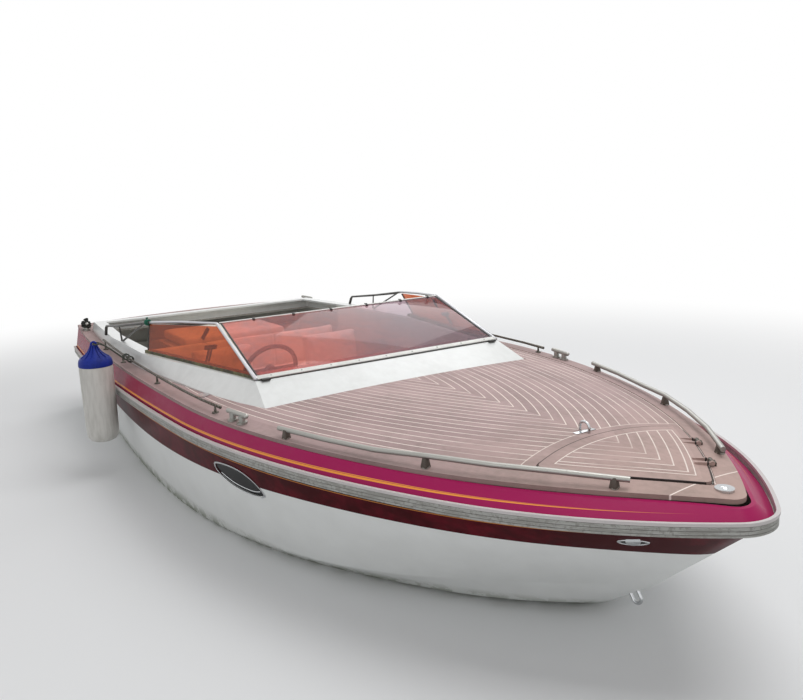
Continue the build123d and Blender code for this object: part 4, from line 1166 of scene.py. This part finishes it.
# Finishes by short names
MATERIALS = {
    "hull": hull_finish(),
    "band": band_finish(),
    "rail": rail_finish(),
    "board": teak_finish("plain teak board", "board"),
    "planks": teak_finish("seamed teak planks", "planks"),
    "hatch": teak_finish("seamed teak lid", "hatch"),
    "white": worn("white gelcoat", WHITE_GEL, 0.3, GRIME, 0.12, 2.4, 2.0, coat=0.3),
    "inside": worn("inner gelcoat", linear(214, 214, 208), 0.4, GRIME, 0.22, 3.0, 1.4),
    "chrome": metal_finish("chrome", linear(196, 198, 200), 0.2, 0.35),
    "steel": metal_finish("stainless", linear(160, 159, 154), 0.36, 0.3),
    "dull": metal_finish("oxidised rail", linear(108, 104, 98), 0.45, 0.85),
    "anodised": metal_finish("anodised tube", linear(196, 196, 200), 0.32, 0.2, aft=-0.67),
    "dark glass": finish("dark port glass", linear(12, 13, 15), 0.3, Specular_IOR_Level=0.15)[0],
    "strip": worn("white screen strip", linear(222, 222, 218), 0.4, GRIME, 0.2, 6.0, 1.0),
    "pink": acrylic("pink acrylic", linear(228, 146, 138), linear(168, 156, 168), 0.015, 0.85),
    "orange": acrylic("orange acrylic", linear(216, 112, 66), linear(160, 80, 46), 0.015),
    "sill": worn("window sill", linear(64, 62, 54), 0.7, linear(150, 146, 104), 0.9, 16.0, 1.0),
    "carpet": worn("cockpit carpet", linear(66, 68, 72), 0.95, GRIME, 0.5, 9.0),
    "dash": worn("dash vinyl", linear(148, 96, 92), 0.55, SHADE_AND_STAIN, 0.35, 4.0),
    "wheel": worn("wheel rim", linear(40, 36, 36), 0.42, GRIME, 0.3, 8.0),
    "vinyl": worn("seat vinyl", linear(224, 220, 208), 0.5, GRIME, 0.25, 5.0),
    "fabric": worn("cabin fabric", linear(122, 106, 92), 0.92, SHADE_AND_STAIN, 0.3, 7.0),
    "engine": worn("engine paint", linear(52, 56, 60), 0.45, GRIME, 0.3, 8.0),
    "drive": worn("drive paint", linear(64, 66, 70), 0.4, ALGAE, 0.35, 5.0),
    "alloy": metal_finish("propeller alloy", linear(150, 150, 148), 0.4, 0.5),
    "fender white": worn("fender vinyl", linear(206, 204, 199), 0.5, linear(120, 116, 104), 0.4, 7.0, 6.0),
    "fender blue": worn("fender cap", linear(26, 46, 140), 0.45, linear(14, 22, 66), 0.5, 8.0,
                        Specular_IOR_Level=0.2),
    "rope": worn("weathered rope", linear(62, 66, 62), 0.9, linear(120, 118, 100), 0.5, 30.0),
    "twine": worn("green twine", linear(34, 104, 84), 0.85, linear(20, 60, 50), 0.5, 30.0),
    "dark rope": worn("dark mooring rope", linear(30, 32, 30), 0.9, linear(70, 76, 62), 0.5, 30.0),
    "bronze": worn("bronze bracket", linear(84, 74, 66), 0.5, linear(48, 42, 36), 0.5, 20.0),
    "black": worn("black fitting", linear(26, 26, 27), 0.5, GRIME, 0.3, 12.0),
}

# The CAD nodes that each finish is for
NODES_OF = {
    "hull": ["hull"],
    "rail": ["rub_rail"],
    "band": ["deck_band"],
    "board": ["covering_board"],
    "planks": ["deck_planks"],
    "hatch": ["fore_hatch"],
    "inside": ["deck_panel", "bulkheads", "seat_bases", "bench_base", "cockpit_liner", "engine_box",
               "engine_lid", "berth_plinth"],
    "white": ["coaming", "cabin_door"],
    "dark glass": ["portlight_glass"],
    "chrome": ["portlight_frames", "stem_dome", "deck_filler", "sidelights", "eye_bolts"],
    "dull": ["hatch_hinges"],
    "steel": ["bow_rails", "cleats"],
    "orange": ["side_windows"],
    "sill": ["window_sills"],
    "carpet": ["cockpit_sole"],
    "dash": ["dash"],
    "wheel": ["steering_wheel"],
    "engine": ["engine"],
    "drive": ["transom_shield", "gimbal_ring", "drive_leg"],
    "alloy": ["propeller"],
}
for look, nodes in NODES_OF.items():
    for node in nodes:
        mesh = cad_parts[node].data
        mesh.materials.clear()
        mesh.materials.append(MATERIALS[look])

# Cushions: node, piece, how far it is pulled in, its mesh size and how far it may swell
stuffed("seat_cushions", "seat_cushion_pads", 0.012, 0.011, 0.014, foot=0.2625,
        channels=[("x", place, 0.007, 0.008) for place in (-0.615, -0.515, -0.415)])
stuffed("seat_backs", "seat_back_pads", 0.012, 0.011, 0.014)
stuffed("bench_cushion", "bench_cushion_pad", 0.012, 0.013, 0.014, foot=0.2625,
        channels=[("y", place, 0.008, 0.008) for place in (-0.29, 0.29)])
stuffed("bench_back", "bench_back_pad", 0.010, 0.013, 0.012,
        channels=[("y", place, 0.007, 0.008) for place in (-0.29, 0.29)])
stuffed("sun_pad", "sun_pad_cover", 0.012, 0.015, 0.014, foot=0.5645, body="engine_lid",
        channels=[("x", place, 0.008, 0.009) for place in (-2.153, -1.953, -1.753)])
stuffed("berth_cushions", "berth_mattresses", 0.010, 0.017, 0.012, foot=0.2005, look="fabric")

# Small gear
make_fender()
make_lanyard()
make_twine()
make_rope_hank()
make_rail_brackets()
make_portlight_trim()
make_sidelight_trim()
slimmed("side_rails", "side_rail_tubes", SIDE_RAIL_FROM, SIDE_RAIL_LESS, "dull")
slimmed("cockpit_rails", "cockpit_tubes", COCKPIT_RAIL_FROM, COCKPIT_RAIL_LESS, "anodised")
make_front_screen()
make_window_gear()
make_instruments()

# Camera
yaw, pitch, roll = (math.radians(v) for v in (CAMERA_YAW, CAMERA_PITCH, CAMERA_ROLL))
ahead = Vector((math.cos(yaw) * math.cos(pitch), math.sin(yaw) * math.cos(pitch), -math.sin(pitch)))
level = Vector((math.sin(yaw), -math.cos(yaw), 0.0))
down = ahead.cross(level)
right = level * math.cos(roll) + down * math.sin(roll)
under = down * math.cos(roll) - level * math.sin(roll)
camera = link("camera", bpy.data.cameras.new("camera"))
camera.data.lens, camera.data.sensor_width, camera.data.clip_end = CAMERA_LENS, 36.0, 200.0
turn = Matrix((right, -under, -ahead)).transposed().to_4x4()
camera.matrix_world = Matrix.Translation(CAMERA_AT) @ turn
scene.camera = camera

# Water level as a plain pale floor, and soft studio light
bpy.ops.mesh.primitive_plane_add(size=400, location=(0, 0, 0))
floor = bpy.context.object
floor.name = "floor"
ground, tree, surface, point = finish("pale floor", linear(232, 233, 234), 0.8, Specular_IOR_Level=0.1)
path = wire(tree, "LightPath").outputs
glow = wire(tree, "Emission", {"Color": (1, 1, 1, 1), "Strength": 1.0}).outputs[0]
away = wire(tree, "VectorMath", {0: point}, operation="LENGTH").outputs["Value"]
limits = {"Value": away, "From Min": FLOOR_FADE[0], "From Max": FLOOR_FADE[1]}
fade = wire(tree, "MapRange", limits, interpolation_type="SMOOTHSTEP")
shown = sums(tree, "MAXIMUM", path["Is Camera Ray"], path["Is Transmission Ray"])
share = sums(tree, "MULTIPLY", shown, fade.outputs["Result"])
mixed = wire(tree, "MixShader", {0: share, 1: surface.outputs[0], 2: glow}).outputs[0]
tree.links.new(mixed, tree.nodes["Material Output"].inputs["Surface"])
floor.data.materials.append(ground)

world = bpy.data.worlds.new("studio")
world.use_nodes = True
scene.world = world
sky = world.node_tree
path = wire(sky, "LightPath").outputs
through = sums(sky, "MAXIMUM", path["Is Glossy Ray"], path["Is Transmission Ray"])
seen = sums(sky, "MAXIMUM", path["Is Camera Ray"], through)
strength = sums(sky, "MULTIPLY_ADD", seen, WORLD_SEEN - WORLD_LIGHT, WORLD_LIGHT)
sky.links.new(strength, sky.nodes["Background"].inputs["Strength"])
sky.nodes["Background"].inputs["Color"].default_value = (1, 1, 1, 1)
for name, place, size, power in LAMPS:
    lamp = link(name, bpy.data.lights.new(name, "AREA"))
    lamp.data.size, lamp.data.energy = size, power
    lamp.matrix_world = facing(place, Vector(place) - Vector(LAMP_TARGET))

scene.view_settings.view_transform = "Standard"
